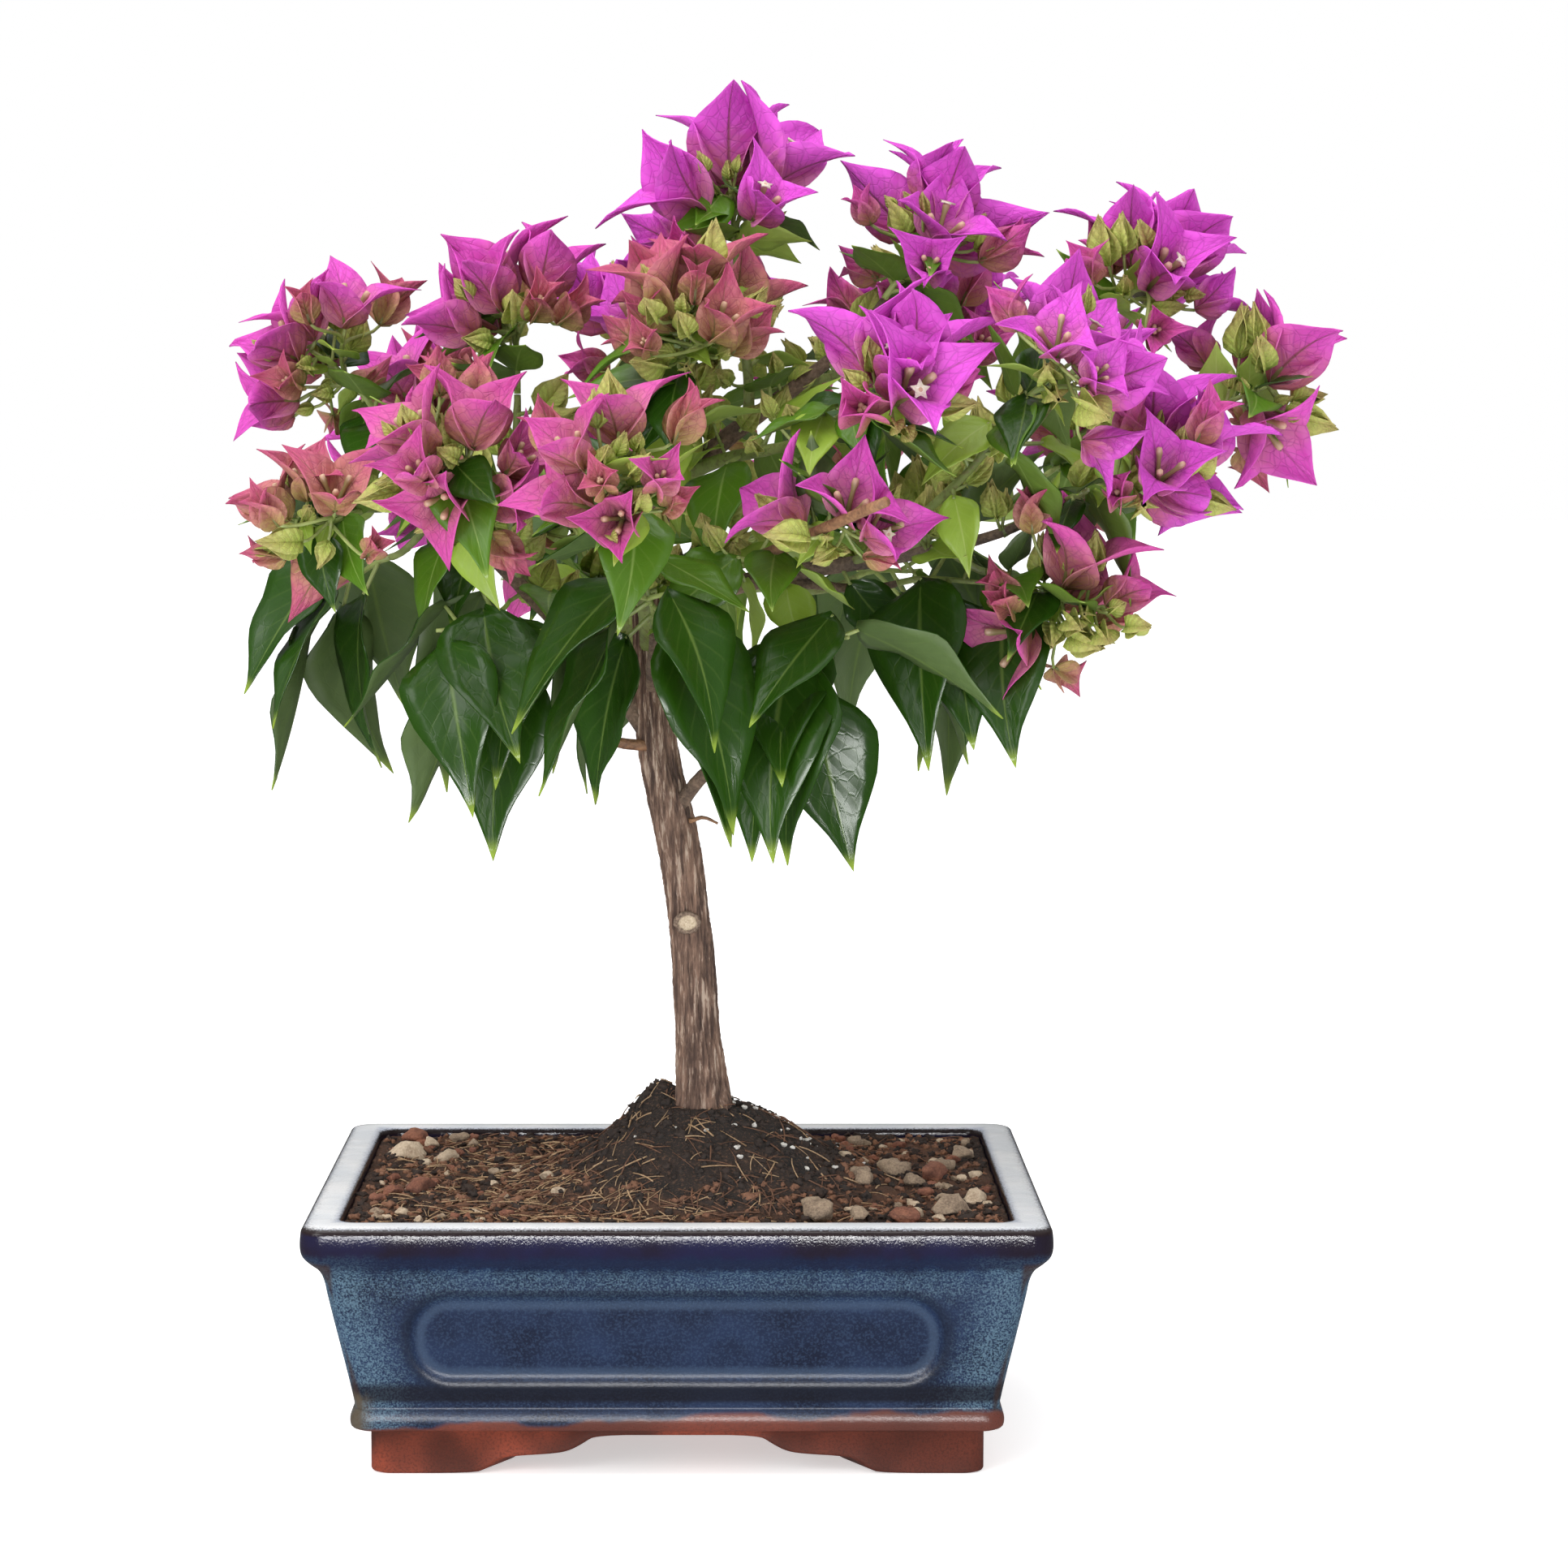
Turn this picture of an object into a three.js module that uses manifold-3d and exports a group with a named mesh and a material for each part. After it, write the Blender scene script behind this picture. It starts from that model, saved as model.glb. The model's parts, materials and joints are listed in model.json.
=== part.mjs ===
// Bougainvillea bonsai in a glazed rectangular pot. Millimetres, +Z up, -Y is the front.
// The plant is laid out from the middle of the pot's footprint; the whole is then shifted so that
// the origin lies on the ground under the middle of the plant's box.
import * as THREE from 'three';
import { mergeVertices } from 'three/addons/utils/BufferGeometryUtils.js';
import Module from 'manifold-3d';

const wasm = await Module();
wasm.setup();
const { Manifold, Mesh: ManifoldMesh } = wasm;

// Place of the pot's middle in the part's frame
const POT_X = -29;
const POT_Y = -0.5;
// Gap kept between pieces that touch on the real plant
const GAP = 0.3;

// Pot
const POT_LENGTH = 200;
const POT_DEPTH = 150;
const POT_HEIGHT = 71;
const CORNER_RADIUS = 6;
const CORNER_STEPS = 3;
const FOOT_INSET = 17;
const FOOT_RISE = 10.5;
const FOOT_WALL = 13;
const BEAD_BOTTOM = 12.5;
const BEAD_TOP = 18.6;
const WALL_FOOT_INSET = 13.4;
const WALL_TOP_INSET = 6.5;
const COVE_START = 50.8;
const LIP_BOTTOM = 61;
const RIM_WIDTH = 10;
const FLOOR_TOP = 23;
// Outer face from the foot up over the rim and down the inside: inset from the rim's edge, height
const POT_PROFILE = [
  [FOOT_INSET, 0],
  [FOOT_INSET, BEAD_BOTTOM],
  [12.9, BEAD_BOTTOM + 0.6],
  [12.1, (BEAD_BOTTOM + BEAD_TOP) / 2],
  [12.9, BEAD_TOP - 0.6],
  [WALL_FOOT_INSET, BEAD_TOP],
  [WALL_TOP_INSET, COVE_START],
  [5.0, 55.6],
  [2.6, 59.4],
  [0.6, LIP_BOTTOM],
  [0, 63.4],
  [0, 67.6],
  [1.2, POT_HEIGHT - 0.9],
  [3.4, POT_HEIGHT],
  [RIM_WIDTH - 2, POT_HEIGHT],
  [RIM_WIDTH, POT_HEIGHT - 1.2],
  [RIM_WIDTH + 0.8, POT_HEIGHT - 6],
  [20, FLOOR_TOP],
];
// Feet: how far the bracket cut goes at each step, as shares of half the length of the foot's wall,
// and how high the step and the shoulder over it are
const FOOT_END = 0.66;
const FOOT_CURVE = 0.63;
const FOOT_TOP = 0.56;
const STEP_END = 0.4;
const ARCH_END = 0.3;
const STEP_RISE = 4.6;
const SHOULDER_RISE = 5.4;
// Sunk panels in the walls: their height, their distance from the rim's ends on the long and the
// short walls, round corners and depth
const PANEL_LOW = 27;
const PANEL_HIGH = 51;
const PANEL_MARGIN_LONG = 30;
const PANEL_MARGIN_SHORT = 24;
const PANEL_CORNER = 11;
const PANEL_SINK = 1.7;
const CURVE_STEPS = 3;
// More than enough to cut right through a piece
const THROUGH = 60;

// Soil: level at the walls, and the mound round the foot of the trunk
const SOIL_LEVEL = POT_HEIGHT - 2.5;
const SOIL_ROOM = 0.6;
const MOUND_TOP = 90.5;
const MOUND_PROFILE = [
  [56, SOIL_LEVEL - 3],
  [52, SOIL_LEVEL + 1],
  [34, SOIL_LEVEL + 9],
  [21, SOIL_LEVEL + 17],
  [12, MOUND_TOP],
];
const MOUND_SIDES = 24;

// A heap of soil beside the trunk's foot: its middle and half sizes
const HEAP_PLACE = [-7, 9, 86];
const HEAP_SIZE = [8, 7.5, 9];

// The larger pebbles: place on the level soil and half length. Each is part sunk
const PEBBLE_SHAPE = [1, 0.82, 0.62];
const PEBBLE_PROUD = 0.25;
const PEBBLES = [
  [-80, 33, 6], [-68, 27, 4], [82, -27, 5],
  [38, -51, 6.6], [49, -53, 4.4], [74, -46, 6.4], [61, 6, 5], [82, 30, 4.6], [66, -8, 3.8],
  [61, -55, 5.2], [-80, -18, 4], [-72, -15, 4.6], [72, 1, 4.8], [-79, 55, 4.6],
];

// Trunk: sideways bend at even steps of height, and radius there. It is cut flat at the soil, a
// little above the height where its bend is laid out from
const TRUNK_CUT = MOUND_TOP + GAP;
const TRUNK_FOOT = TRUNK_CUT - 4;
const TRUNK_TOP = 242;
const TRUNK_BEND = [7.2, 5.5, 3.5, 0.2, -5.4, -7.9, -8.8];
const TRUNK_RADIUS = [8.4, 6.5, 6.3, 6.2, 6.0, 5.1, 4.3];
const TRUNK_SIDES = 9;
const TRUNK_STEPS = 12;

// Limbs: a limb leans this much along its parent as it leaves it and turns up this much as it ends.
// Its foot is thicker the longer it is, up to a share of its parent's radius
const LIMB_SIDES = 5;
const LIMB_STEPS = 4;
const LIMB_LEAN = 0.35;
const LIMB_RISE = 0.35;
const LIMB_FOOT_RADIUS = 0.9;
const LIMB_FOOT_PER_LENGTH = 0.016;
const LIMB_FOOT_LEAST = 1.2;
const LIMB_FOOT_SHARE = 0.66;
const LEADER_FOOT_SHARE = 0.97;
const LIMB_TIP_RADIUS = 1.0;

// Foliage
const GOLDEN_TURN = THREE.MathUtils.degToRad(137.5);
const THIRD_TURN = 2 * Math.PI / 3;
const CROWN_HEART = new THREE.Vector3(25, 0, 232);
const STEM_RADIUS = 0.95;
const STEM_STEPS = 3;
const TWIG_SIDES = 3;
const TWIG_STEPS = 2;
const TWIG_RADIUS = 0.7;
const TWIG_TIP_RADIUS = 0.55;
// How deep the root of a leaf or bud is sunk in the wood
const ROOT_SINK = 1;
const BRACT_LENGTH = 33;
const BRACT_WIDEST = 0.42;
const BRACT_HALF_WIDTH = 0.37;
const BRACT_CUP = 0.14;
const BRACT_NOTCH = 0.1;
// The most that a bract takes of the room between its two neighbours
const BRACT_SHARE = 0.95;
const FLOWER_HEART = 1.6;
const BUD_LENGTH = 17;
const BUD_RADIUS = 3.3;
const LEAF_LENGTH = 32;
const SKIRT_LEAF_LENGTH = 52;
const LEAF_STALK = 0.2;
const LEAF_KEEL = 0.18;
const LEAF_THICKNESS = 1;
// Halves of the leaf outlines: share of the length, half width as a share of the length
const LEAF_OUTLINE = [[0.38, 0.27]];
const SKIRT_LEAF_OUTLINE = [[0.3, 0.25], [0.64, 0.19]];
// The stem of a mass starts this share of its reach before the crest and ends this share past it
const STEM_BEFORE = 0.5;
const STEM_PAST = 0.2;
// A skirt's stem runs above the middle of its space, by this share of the reach
const SKIRT_CREST = 0.5;
// Room kept round a blade when it is tried against its neighbours
const BLADE_ROOM = 0.7;
// A flower or leaf is tried this often, each time turned anew and a little smaller
const TRIES = 7;
const SHRINK = 0.06;
// What chance decides, as the least value and the play above it: the size of a blade as a share of
// its full size; a flower's tilt and turn about its place, its seat as a share of the reach and how
// wide its bracts open; how far a leaf turns about its place and drops; a bud's tilt and its place
// along its twig
const BLADE_SIZE = [0.85, 0.25];
const FLOWER_TILT = [-0.45, 0.9];
const FLOWER_TURN = [-0.6, 1.2];
const FLOWER_SEAT = [0.12, 0.4];
const FLOWER_OPEN = [0.55, 0.4];
const LEAF_TURN = [-0.7, 1.4];
const LEAF_DROP = [0.1, 0.5];
const SKIRT_LEAF_DROP = [0.7, 1.1];
const BUD_TILT = [0.5, 1];
const BUD_PLACE = [0.3, 0.4];
const ANY_TURN = [0, 2 * Math.PI];
// Flowers sit from the stem's tip downwards, tilt further out the lower they are and face up a
// little; leaves sit along nearly all of the stem and lean out from it
const FLOWER_NODE = 0.98;
const FLOWER_NODE_RUN = 0.7;
const FLOWER_SPREAD = 1.5;
const FLOWER_RISE = 0.3;
const UNRIPE_SIZE = 0.66;
const LEAF_NODE = 0.1;
const LEAF_NODE_RUN = 0.86;
const LEAF_LEAN = 1.2;

// The limbs, each with the mass of foliage at its tip: name, what carries it and where along that,
// middle of the mass x, y, z, the reach of its space, then flowers, buds and leaves, ripeness of the
// flowers from 0 to 1, and the turn in degrees of the first twig. A mass with no flowers is a leafy
// skirt that hangs.
const SPRAYS = [
  ['leader', 'trunk', 1.0, 69, 4, 330, 36, 5, 2, 3, 0.8, 20],
  ['left', 'trunk', 0.68, -96, 2, 299, 37, 5, 2, 3, 0.8, 90],
  ['right', 'trunk', 0.9, 124, -30, 267, 40, 5, 1, 3, 0.9, 150],
  ['spire', 'leader', 0.52, 15, -2, 340, 41, 5, 2, 2, 1.1, 120],
  ['right_top', 'right', 0.62, 128, 6, 320, 37, 5, 1, 3, 0.9, 30],
  ['far_right', 'right', 0.84, 157, -4, 290, 35, 3, 4, 2, 0.7, 10],
  ['right_front', 'right', 0.5, 99, -64, 295, 36, 4, 1, 2, 1.0, 200],
  ['right_low', 'right', 0.7, 100, -30, 234, 38, 4, 4, 4, 0.6, 260],
  ['centre_right', 'leader', 0.3, 54, -74, 289, 37, 5, 2, 3, 0.9, 120],
  ['centre', 'trunk', 0.96, 42, -70, 256, 34, 3, 4, 4, 0.4, 60],
  ['centre_left', 'leader', 0.2, 4, -46, 302, 37, 5, 3, 3, 0.5, 310],
  ['mid_left', 'trunk', 0.85, -11, -92, 266, 37, 4, 3, 4, 0.7, 180],
  ['left_upper', 'left', 0.5, -44, -10, 309, 38, 5, 2, 3, 0.7, 45],
  ['left_front', 'left', 0.62, -55, -72, 270, 37, 4, 4, 3, 0.6, 230],
  ['far_left', 'left', 0.8, -93, -34, 254, 39, 3, 6, 3, 0.4, 0],
  ['back_left', 'left', 0.42, -70, 62, 280, 42, 5, 2, 4, 0.8, 100],
  ['back_upper', 'leader', 0.4, -6, 58, 308, 42, 5, 2, 4, 0.9, 15],
  ['back_right', 'right', 0.36, 122, 64, 272, 42, 4, 2, 4, 0.7, 285],
  ['back_crest', 'leader', 0.66, 74, 64, 308, 42, 5, 2, 3, 0.9, 140],
  ['back_middle', 'trunk', 0.93, 42, 94, 266, 42, 4, 3, 4, 0.6, 330],
  ['back_low', 'trunk', 0.8, -34, 94, 252, 42, 4, 3, 4, 0.6, 220],
  ['skirt_left', 'left', 0.3, -56, -28, 202, 50, 0, 0, 7, 1, 30],
  ['skirt_far_left', 'left', 0.72, -96, 30, 212, 44, 0, 0, 6, 1, 170],
  ['skirt_front', 'trunk', 0.77, -6, -66, 214, 46, 0, 0, 7, 1, 80],
  ['skirt_right_front', 'trunk', 0.55, 42, -46, 202, 50, 0, 0, 7, 1, 240],
  ['skirt_right', 'right', 0.28, 82, -16, 216, 44, 0, 0, 6, 1, 300],
  ['skirt_back', 'trunk', 0.72, -14, 56, 210, 48, 0, 0, 7, 1, 20],
  ['skirt_back_right', 'right', 0.2, 66, 58, 214, 48, 0, 0, 7, 1, 110],
].map(([name, parent, at, x, y, z, reach, flowers, buds, leaves, ripe, turn]) => ({
  name, parent, at, reach, flowers, buds, leaves, ripe,
  middle: new THREE.Vector3(x, y, z),
  hangs: flowers === 0,
  crest: new THREE.Vector3(x, y, z + (flowers === 0 ? SKIRT_CREST * reach : 0)),
  turn: THREE.MathUtils.degToRad(turn),
}));

const UP = new THREE.Vector3(0, 0, 1);
const FORWARD = new THREE.Vector3(0, -1, 0);

// Finishes
function finish(color, roughness, metalness = 0) {
  return new THREE.MeshStandardMaterial({ color, roughness, metalness });
}
const GLAZE = finish(0x2f4a78, 0.18);
const SOIL = finish(0x3b2a20, 0.95);
const BARK = finish(0x7d6a5b, 0.85);
const GREEN_BARK = finish(0x6f6a45, 0.7);
const BLOSSOM = finish(0xc030b4, 0.55);
const FOLIAGE = finish(0x2c5a2a, 0.4);

// A closed geometry as a solid, and back
function solidOf(geometry) {
  const bare = geometry.clone();
  bare.deleteAttribute('normal');
  bare.deleteAttribute('uv');
  const merged = mergeVertices(bare, 1e-4);
  return new Manifold(new ManifoldMesh({
    numProp: 3,
    vertProperties: Float32Array.from(merged.attributes.position.array),
    triVerts: Uint32Array.from(merged.index.array),
  }));
}

function geometryOf(solid) {
  const { vertProperties, triVerts, numProp } = solid.getMesh();
  const geometry = new THREE.BufferGeometry();
  const position = new THREE.BufferAttribute(Float32Array.from(vertProperties), numProp);
  geometry.setAttribute('position', position);
  geometry.setIndex(new THREE.BufferAttribute(Uint32Array.from(triVerts), 1));
  geometry.computeVertexNormals();
  return geometry;
}

// The largest of a solid's separate bodies: scraps go, and sealed hollows close
function mainBody(solid) {
  const bodies = solid.decompose();
  return bodies.reduce((a, b) => (a.volume() >= b.volume() ? a : b));
}

// Moves each point of a geometry to where place(x, y, z) says
function reshape(geometry, place) {
  const points = geometry.attributes.position;
  for (let i = 0; i < points.count; i += 1) {
    points.setXYZ(i, ...place(points.getX(i), points.getY(i), points.getZ(i)).toArray());
  }
  return geometry;
}

// Even random numbers from 0 to 1, the same on every run
function stream(seed) {
  let state = seed * 7919 + 104729;
  return () => {
    state = (state * 48271) % 2147483647;
    return state / 2147483647;
  };
}

// A limb or twig: a cylinder of few sides bent along a curve, its radius read at each ring
function taperedTube(curve, radiusAt, sides, steps) {
  const rings = [];
  let across = new THREE.Vector3();
  for (let i = 0; i <= steps; i += 1) {
    const along = curve.getTangent(i / steps);
    if (i === 0) {
      across.crossVectors(along, Math.abs(along.z) < 0.9 ? UP : new THREE.Vector3(1, 0, 0));
    }
    across = across.clone().addScaledVector(along, -across.dot(along)).normalize();
    const over = new THREE.Vector3().crossVectors(across, along);
    rings.push({ middle: curve.getPoint(i / steps), across, over, radius: radiusAt(i / steps) });
  }
  return reshape(new THREE.CylinderGeometry(1, 1, 1, sides, steps), (x, y, z) => {
    const { middle, across: side, over, radius } = rings[Math.round((y + 0.5) * steps)];
    return middle.clone().addScaledVector(side, x * radius).addScaledVector(over, z * radius);
  });
}

function byChance(rand, [least, play]) {
  return least + play * rand();
}

function taper(from, to) {
  return (t) => from + (to - from) * t;
}

// A curve that leaves one point along one direction and reaches another point along a second one
function reachingCurve(start, leaving, end, arriving) {
  const third = start.distanceTo(end) / 3;
  return new THREE.CubicBezierCurve3(
    start,
    start.clone().addScaledVector(leaving, third),
    end.clone().addScaledVector(arriving, -third),
    end,
  );
}

// A thin body round an outline of points: a lens with its two poles on either side of the outline
function lens({ outline, front, back }) {
  const sides = outline.length;
  return solidOf(reshape(new THREE.SphereGeometry(1, sides, 2), (x, y, z) => {
    if (Math.abs(y) > 0.5) {
      return y > 0 ? front : back;
    }
    const step = Math.round((Math.atan2(z, -x) / (2 * Math.PI)) * sides);
    return outline[(step + sides) % sides];
  }));
}

// A leaf: its outline round a thin lens, keeled so that its sides stand forward of its midrib
function leafShape(root, along, across, length, halves, room) {
  const facing = new THREE.Vector3().crossVectors(along, across);
  const size = length + 2 * room;
  const at = (u, v, lift) => root.clone()
    .addScaledVector(along, u * size - room)
    .addScaledVector(across, v * size)
    .addScaledVector(facing, lift + Math.abs(v) * size * LEAF_KEEL);
  const half = LEAF_THICKNESS / 2 + room;
  const right = halves.map(([u, v]) => at(u, -v, 0));
  const left = halves.map(([u, v]) => at(u, v, 0)).reverse();
  return {
    outline: [at(0, 0, 0), ...right, at(1, 0, 0), ...left],
    front: at(halves[0][0], 0, half),
    back: at(halves[0][0], 0, -half),
  };
}

// Two directions square to an axis
function squareTo(axis) {
  const guide = Math.abs(axis.z) < 0.9 ? UP : FORWARD;
  const side = new THREE.Vector3().crossVectors(axis, guide).normalize();
  return { axis, side, over: new THREE.Vector3().crossVectors(side, axis) };
}

// A direction tilted from an axis, at a turn round it
function leaning({ axis, side, over }, tilt, turn) {
  return axis.clone().multiplyScalar(Math.cos(tilt))
    .addScaledVector(side, Math.sin(tilt) * Math.cos(turn))
    .addScaledVector(over, Math.sin(tilt) * Math.sin(turn));
}

// A flower: three cupped bracts round its heart, as one star with a notch between two bracts
function flowerShape(root, axis, length, turn, open, room) {
  const axes = squareTo(axis);
  const size = length + 2 * room;
  const roomBeside = BRACT_WIDEST * Math.sin(open) * Math.tan(THIRD_TURN / 2);
  const half = Math.min(BRACT_HALF_WIDTH, BRACT_SHARE * roomBeside);
  const outline = [0, 1, 2].flatMap((k) => {
    const along = leaning(axes, open, turn - k * THIRD_TURN);
    const across = new THREE.Vector3().crossVectors(axis, along).normalize();
    const facing = new THREE.Vector3().crossVectors(along, across);
    const at = (u, v) => root.clone()
      .addScaledVector(along, u * size)
      .addScaledVector(across, v * size)
      .addScaledVector(facing, Math.abs(v) * BRACT_CUP * size);
    const between = leaning(axes, Math.PI / 2, turn - (k - 0.5) * THIRD_TURN);
    const notch = root.clone().addScaledVector(between, BRACT_NOTCH * size);
    return [notch, at(BRACT_WIDEST, -half), at(1, 0), at(BRACT_WIDEST, half)];
  });
  const depth = FLOWER_HEART + room;
  return {
    outline,
    front: root.clone().addScaledVector(axis, depth),
    back: root.clone().addScaledVector(axis, -depth),
  };
}

// A bud: a stretched eight-faced body
function spindle(root, along, length, radius) {
  const turn = new THREE.Quaternion().setFromUnitVectors(UP, along);
  return solidOf(reshape(new THREE.OctahedronGeometry(1), (x, y, z) => (
    new THREE.Vector3(x * radius, y * radius, (z + 1) * length / 2).applyQuaternion(turn).add(root)
  )));
}

// A ring of the pot's plan: a rectangle with round corners, set in from the rim's edge
function potRing(step, inset) {
  const perCorner = CORNER_STEPS + 1;
  const corner = Math.floor(step / perCorner) % 4;
  const turn = (corner + (step % perCorner) / CORNER_STEPS) * Math.PI / 2;
  const sideX = corner < 2 ? 1 : -1;
  const sideY = corner === 1 || corner === 2 ? 1 : -1;
  return [
    sideX * (POT_LENGTH / 2 - inset - CORNER_RADIUS) + CORNER_RADIUS * Math.sin(turn),
    sideY * (POT_DEPTH / 2 - inset - CORNER_RADIUS) - CORNER_RADIUS * Math.cos(turn),
  ];
}

// A body whose level sections are pot rings: a cylinder with its rings moved to a profile
function potBody(profile) {
  const sides = 4 * (CORNER_STEPS + 1);
  const steps = profile.length - 1;
  return solidOf(reshape(new THREE.CylinderGeometry(1, 1, 1, sides, steps), (x, y, z) => {
    const [inset, height] = profile[Math.round((y + 0.5) * steps)];
    if (Math.hypot(x, z) < 0.5) {
      return new THREE.Vector3(0, 0, height);
    }
    const step = Math.round((Math.atan2(x, z) / (2 * Math.PI)) * sides + sides) % sides;
    return new THREE.Vector3(...potRing(step, inset), height);
  }));
}

// The bracket-shaped opening between two feet, run right through the pot from side to side
function footOpening(halfWidth, runs) {
  const shape = new THREE.Shape();
  const curve = (bendShare, bendHeight, share, height) => (
    shape.quadraticCurveTo(halfWidth * bendShare, bendHeight, halfWidth * share, height)
  );
  const line = (share, height) => shape.lineTo(halfWidth * share, height);
  shape.moveTo(-halfWidth * FOOT_END, -STEP_RISE);
  line(-FOOT_END, 0);
  curve(-FOOT_CURVE, STEP_RISE, -FOOT_TOP, STEP_RISE);
  line(-STEP_END, SHOULDER_RISE);
  curve(-ARCH_END, SHOULDER_RISE, -ARCH_END, FOOT_RISE);
  line(ARCH_END, FOOT_RISE);
  curve(ARCH_END, SHOULDER_RISE, STEP_END, SHOULDER_RISE);
  line(FOOT_TOP, STEP_RISE);
  curve(FOOT_CURVE, STEP_RISE, FOOT_END, 0);
  line(FOOT_END, -STEP_RISE);
  const settings = { depth: 2 * runs, bevelEnabled: false, curveSegments: CURVE_STEPS };
  const geometry = new THREE.ExtrudeGeometry(shape, settings);
  return geometry.translate(0, 0, -runs).rotateX(Math.PI / 2);
}

// A sunk panel: a block with round corners, laid against the sloping wall at the front
function panelCut(halfLength, halfDepth) {
  const run = WALL_FOOT_INSET - WALL_TOP_INSET;
  const rise = COVE_START - BEAD_TOP;
  const middle = (PANEL_LOW + PANEL_HIGH) / 2;
  const inset = WALL_FOOT_INSET - run * (middle - BEAD_TOP) / rise;
  const half = (PANEL_HIGH - PANEL_LOW) / 2;
  const shape = new THREE.Shape();
  const [inX, inY] = [halfLength - PANEL_CORNER, half - PANEL_CORNER];
  shape.absarc(inX, -inY, PANEL_CORNER, -Math.PI / 2, 0);
  shape.absarc(inX, inY, PANEL_CORNER, 0, Math.PI / 2);
  shape.absarc(-inX, inY, PANEL_CORNER, Math.PI / 2, Math.PI);
  shape.absarc(-inX, -inY, PANEL_CORNER, Math.PI, Math.PI * 1.5);
  const settings = { depth: half, bevelEnabled: false, curveSegments: CURVE_STEPS };
  return new THREE.ExtrudeGeometry(shape, settings)
    .translate(0, 0, -PANEL_SINK)
    .rotateX(Math.PI / 2 + Math.atan2(run, rise))
    .translate(0, -halfDepth + inset, middle);
}

function makePot() {
  const [halfX, halfY] = [POT_LENGTH / 2, POT_DEPTH / 2];
  const [footX, footY] = [halfX - FOOT_INSET, halfY - FOOT_INSET];
  const underside = new THREE.BoxGeometry(
    2 * (footX - FOOT_WALL), 2 * (footY - FOOT_WALL), 2 * FOOT_RISE,
  );
  const cuts = [
    underside,
    footOpening(footX, POT_DEPTH),
    footOpening(footY, POT_LENGTH).rotateZ(Math.PI / 2),
  ];
  for (const turn of [0, Math.PI]) {
    cuts.push(panelCut(halfX - PANEL_MARGIN_LONG, halfY).rotateZ(turn));
    cuts.push(panelCut(halfY - PANEL_MARGIN_SHORT, halfX).rotateZ(turn + Math.PI / 2));
  }
  return cuts.reduce((pot, cut) => pot.subtract(solidOf(cut)), potBody(POT_PROFILE));
}

// A rounded lump with few faces
function lump(detail, turn, size, place) {
  return new THREE.IcosahedronGeometry(1, detail).rotateZ(turn).scale(...size).translate(...place);
}

// Soil: a bed that fills the pot, clear of its walls and floor, with a round mound and a heap at the
// trunk's foot and pebbles on the level part
function makeSoil(trunkFoot) {
  const [wallInset] = POT_PROFILE.at(-2);
  const [floorInset, floorHeight] = POT_PROFILE.at(-1);
  const bed = potBody([
    [floorInset + SOIL_ROOM, floorHeight + GAP],
    [wallInset + SOIL_ROOM, SOIL_LEVEL],
  ]);
  const profile = [
    new THREE.Vector2(0, MOUND_PROFILE[0][1]),
    ...MOUND_PROFILE.map(([radius, height]) => new THREE.Vector2(radius, height)),
    new THREE.Vector2(0, MOUND_TOP),
  ];
  const mound = new THREE.LatheGeometry(profile, MOUND_SIDES).rotateX(Math.PI / 2);
  const lumps = PEBBLES.map(([x, y, length], i) => lump(
    0, i, PEBBLE_SHAPE.map((share) => share * length), [x, y, SOIL_LEVEL + PEBBLE_PROUD * length],
  ));
  lumps.push(mound.translate(trunkFoot.x, trunkFoot.y, 0), lump(1, 0, HEAP_SIZE, HEAP_PLACE));
  return lumps.reduce((soil, piece) => soil.add(solidOf(piece)), bed);
}

// Trunk: bent, tapering and flared at the foot, with a flat cut at the soil
function trunkLimb() {
  const steps = TRUNK_BEND.length - 1;
  const points = TRUNK_BEND.map((x, i) => (
    new THREE.Vector3(x, 0, TRUNK_FOOT + (TRUNK_TOP - TRUNK_FOOT) * i / steps)
  ));
  const curve = new THREE.CatmullRomCurve3(points, false, 'catmullrom', 0.5);
  const radiusAt = (t) => {
    const i = Math.min(Math.floor(t * steps), steps - 1);
    return TRUNK_RADIUS[i] + (TRUNK_RADIUS[i + 1] - TRUNK_RADIUS[i]) * (t * steps - i);
  };
  return { name: 'trunk', curve, radiusAt, sides: TRUNK_SIDES, steps: TRUNK_STEPS };
}

function makeTrunk(limb) {
  const below = new THREE.BoxGeometry(THROUGH, THROUGH, THROUGH)
    .translate(0, 0, TRUNK_CUT - THROUGH / 2);
  return limbSolid(limb).subtract(solidOf(below));
}

// One limb: leaves its parent between the parent's own way and the way to its mass, and ends where
// it enters the mass. The leader carries the trunk on from its tip
function sprayLimb(spray, parent) {
  const leads = spray.at === 1;
  const parentWay = parent.curve.getTangent(spray.at);
  const start = parent.curve.getPoint(spray.at).addScaledVector(parentWay, leads ? GAP : 0);
  const way = spray.crest.clone().sub(start).normalize();
  const tip = spray.crest.clone().addScaledVector(way, -STEM_BEFORE * spray.reach);
  const leaving = leads ? parentWay : way.clone().addScaledVector(parentWay, LIMB_LEAN).normalize();
  const arriving = way.clone().addScaledVector(UP, LIMB_RISE).normalize();
  const curve = reachingCurve(start, leaving, tip, arriving);
  const parentRadius = parent.radiusAt(spray.at);
  const grown = LIMB_FOOT_RADIUS + LIMB_FOOT_PER_LENGTH * start.distanceTo(spray.crest);
  const foot = Math.max(Math.min(LIMB_FOOT_SHARE * parentRadius, grown), LIMB_FOOT_LEAST);
  const radiusAt = taper(leads ? LEADER_FOOT_SHARE * parentRadius : foot, LIMB_TIP_RADIUS);
  return { name: spray.name, curve, radiusAt, sides: LIMB_SIDES, steps: LIMB_STEPS };
}

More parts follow.
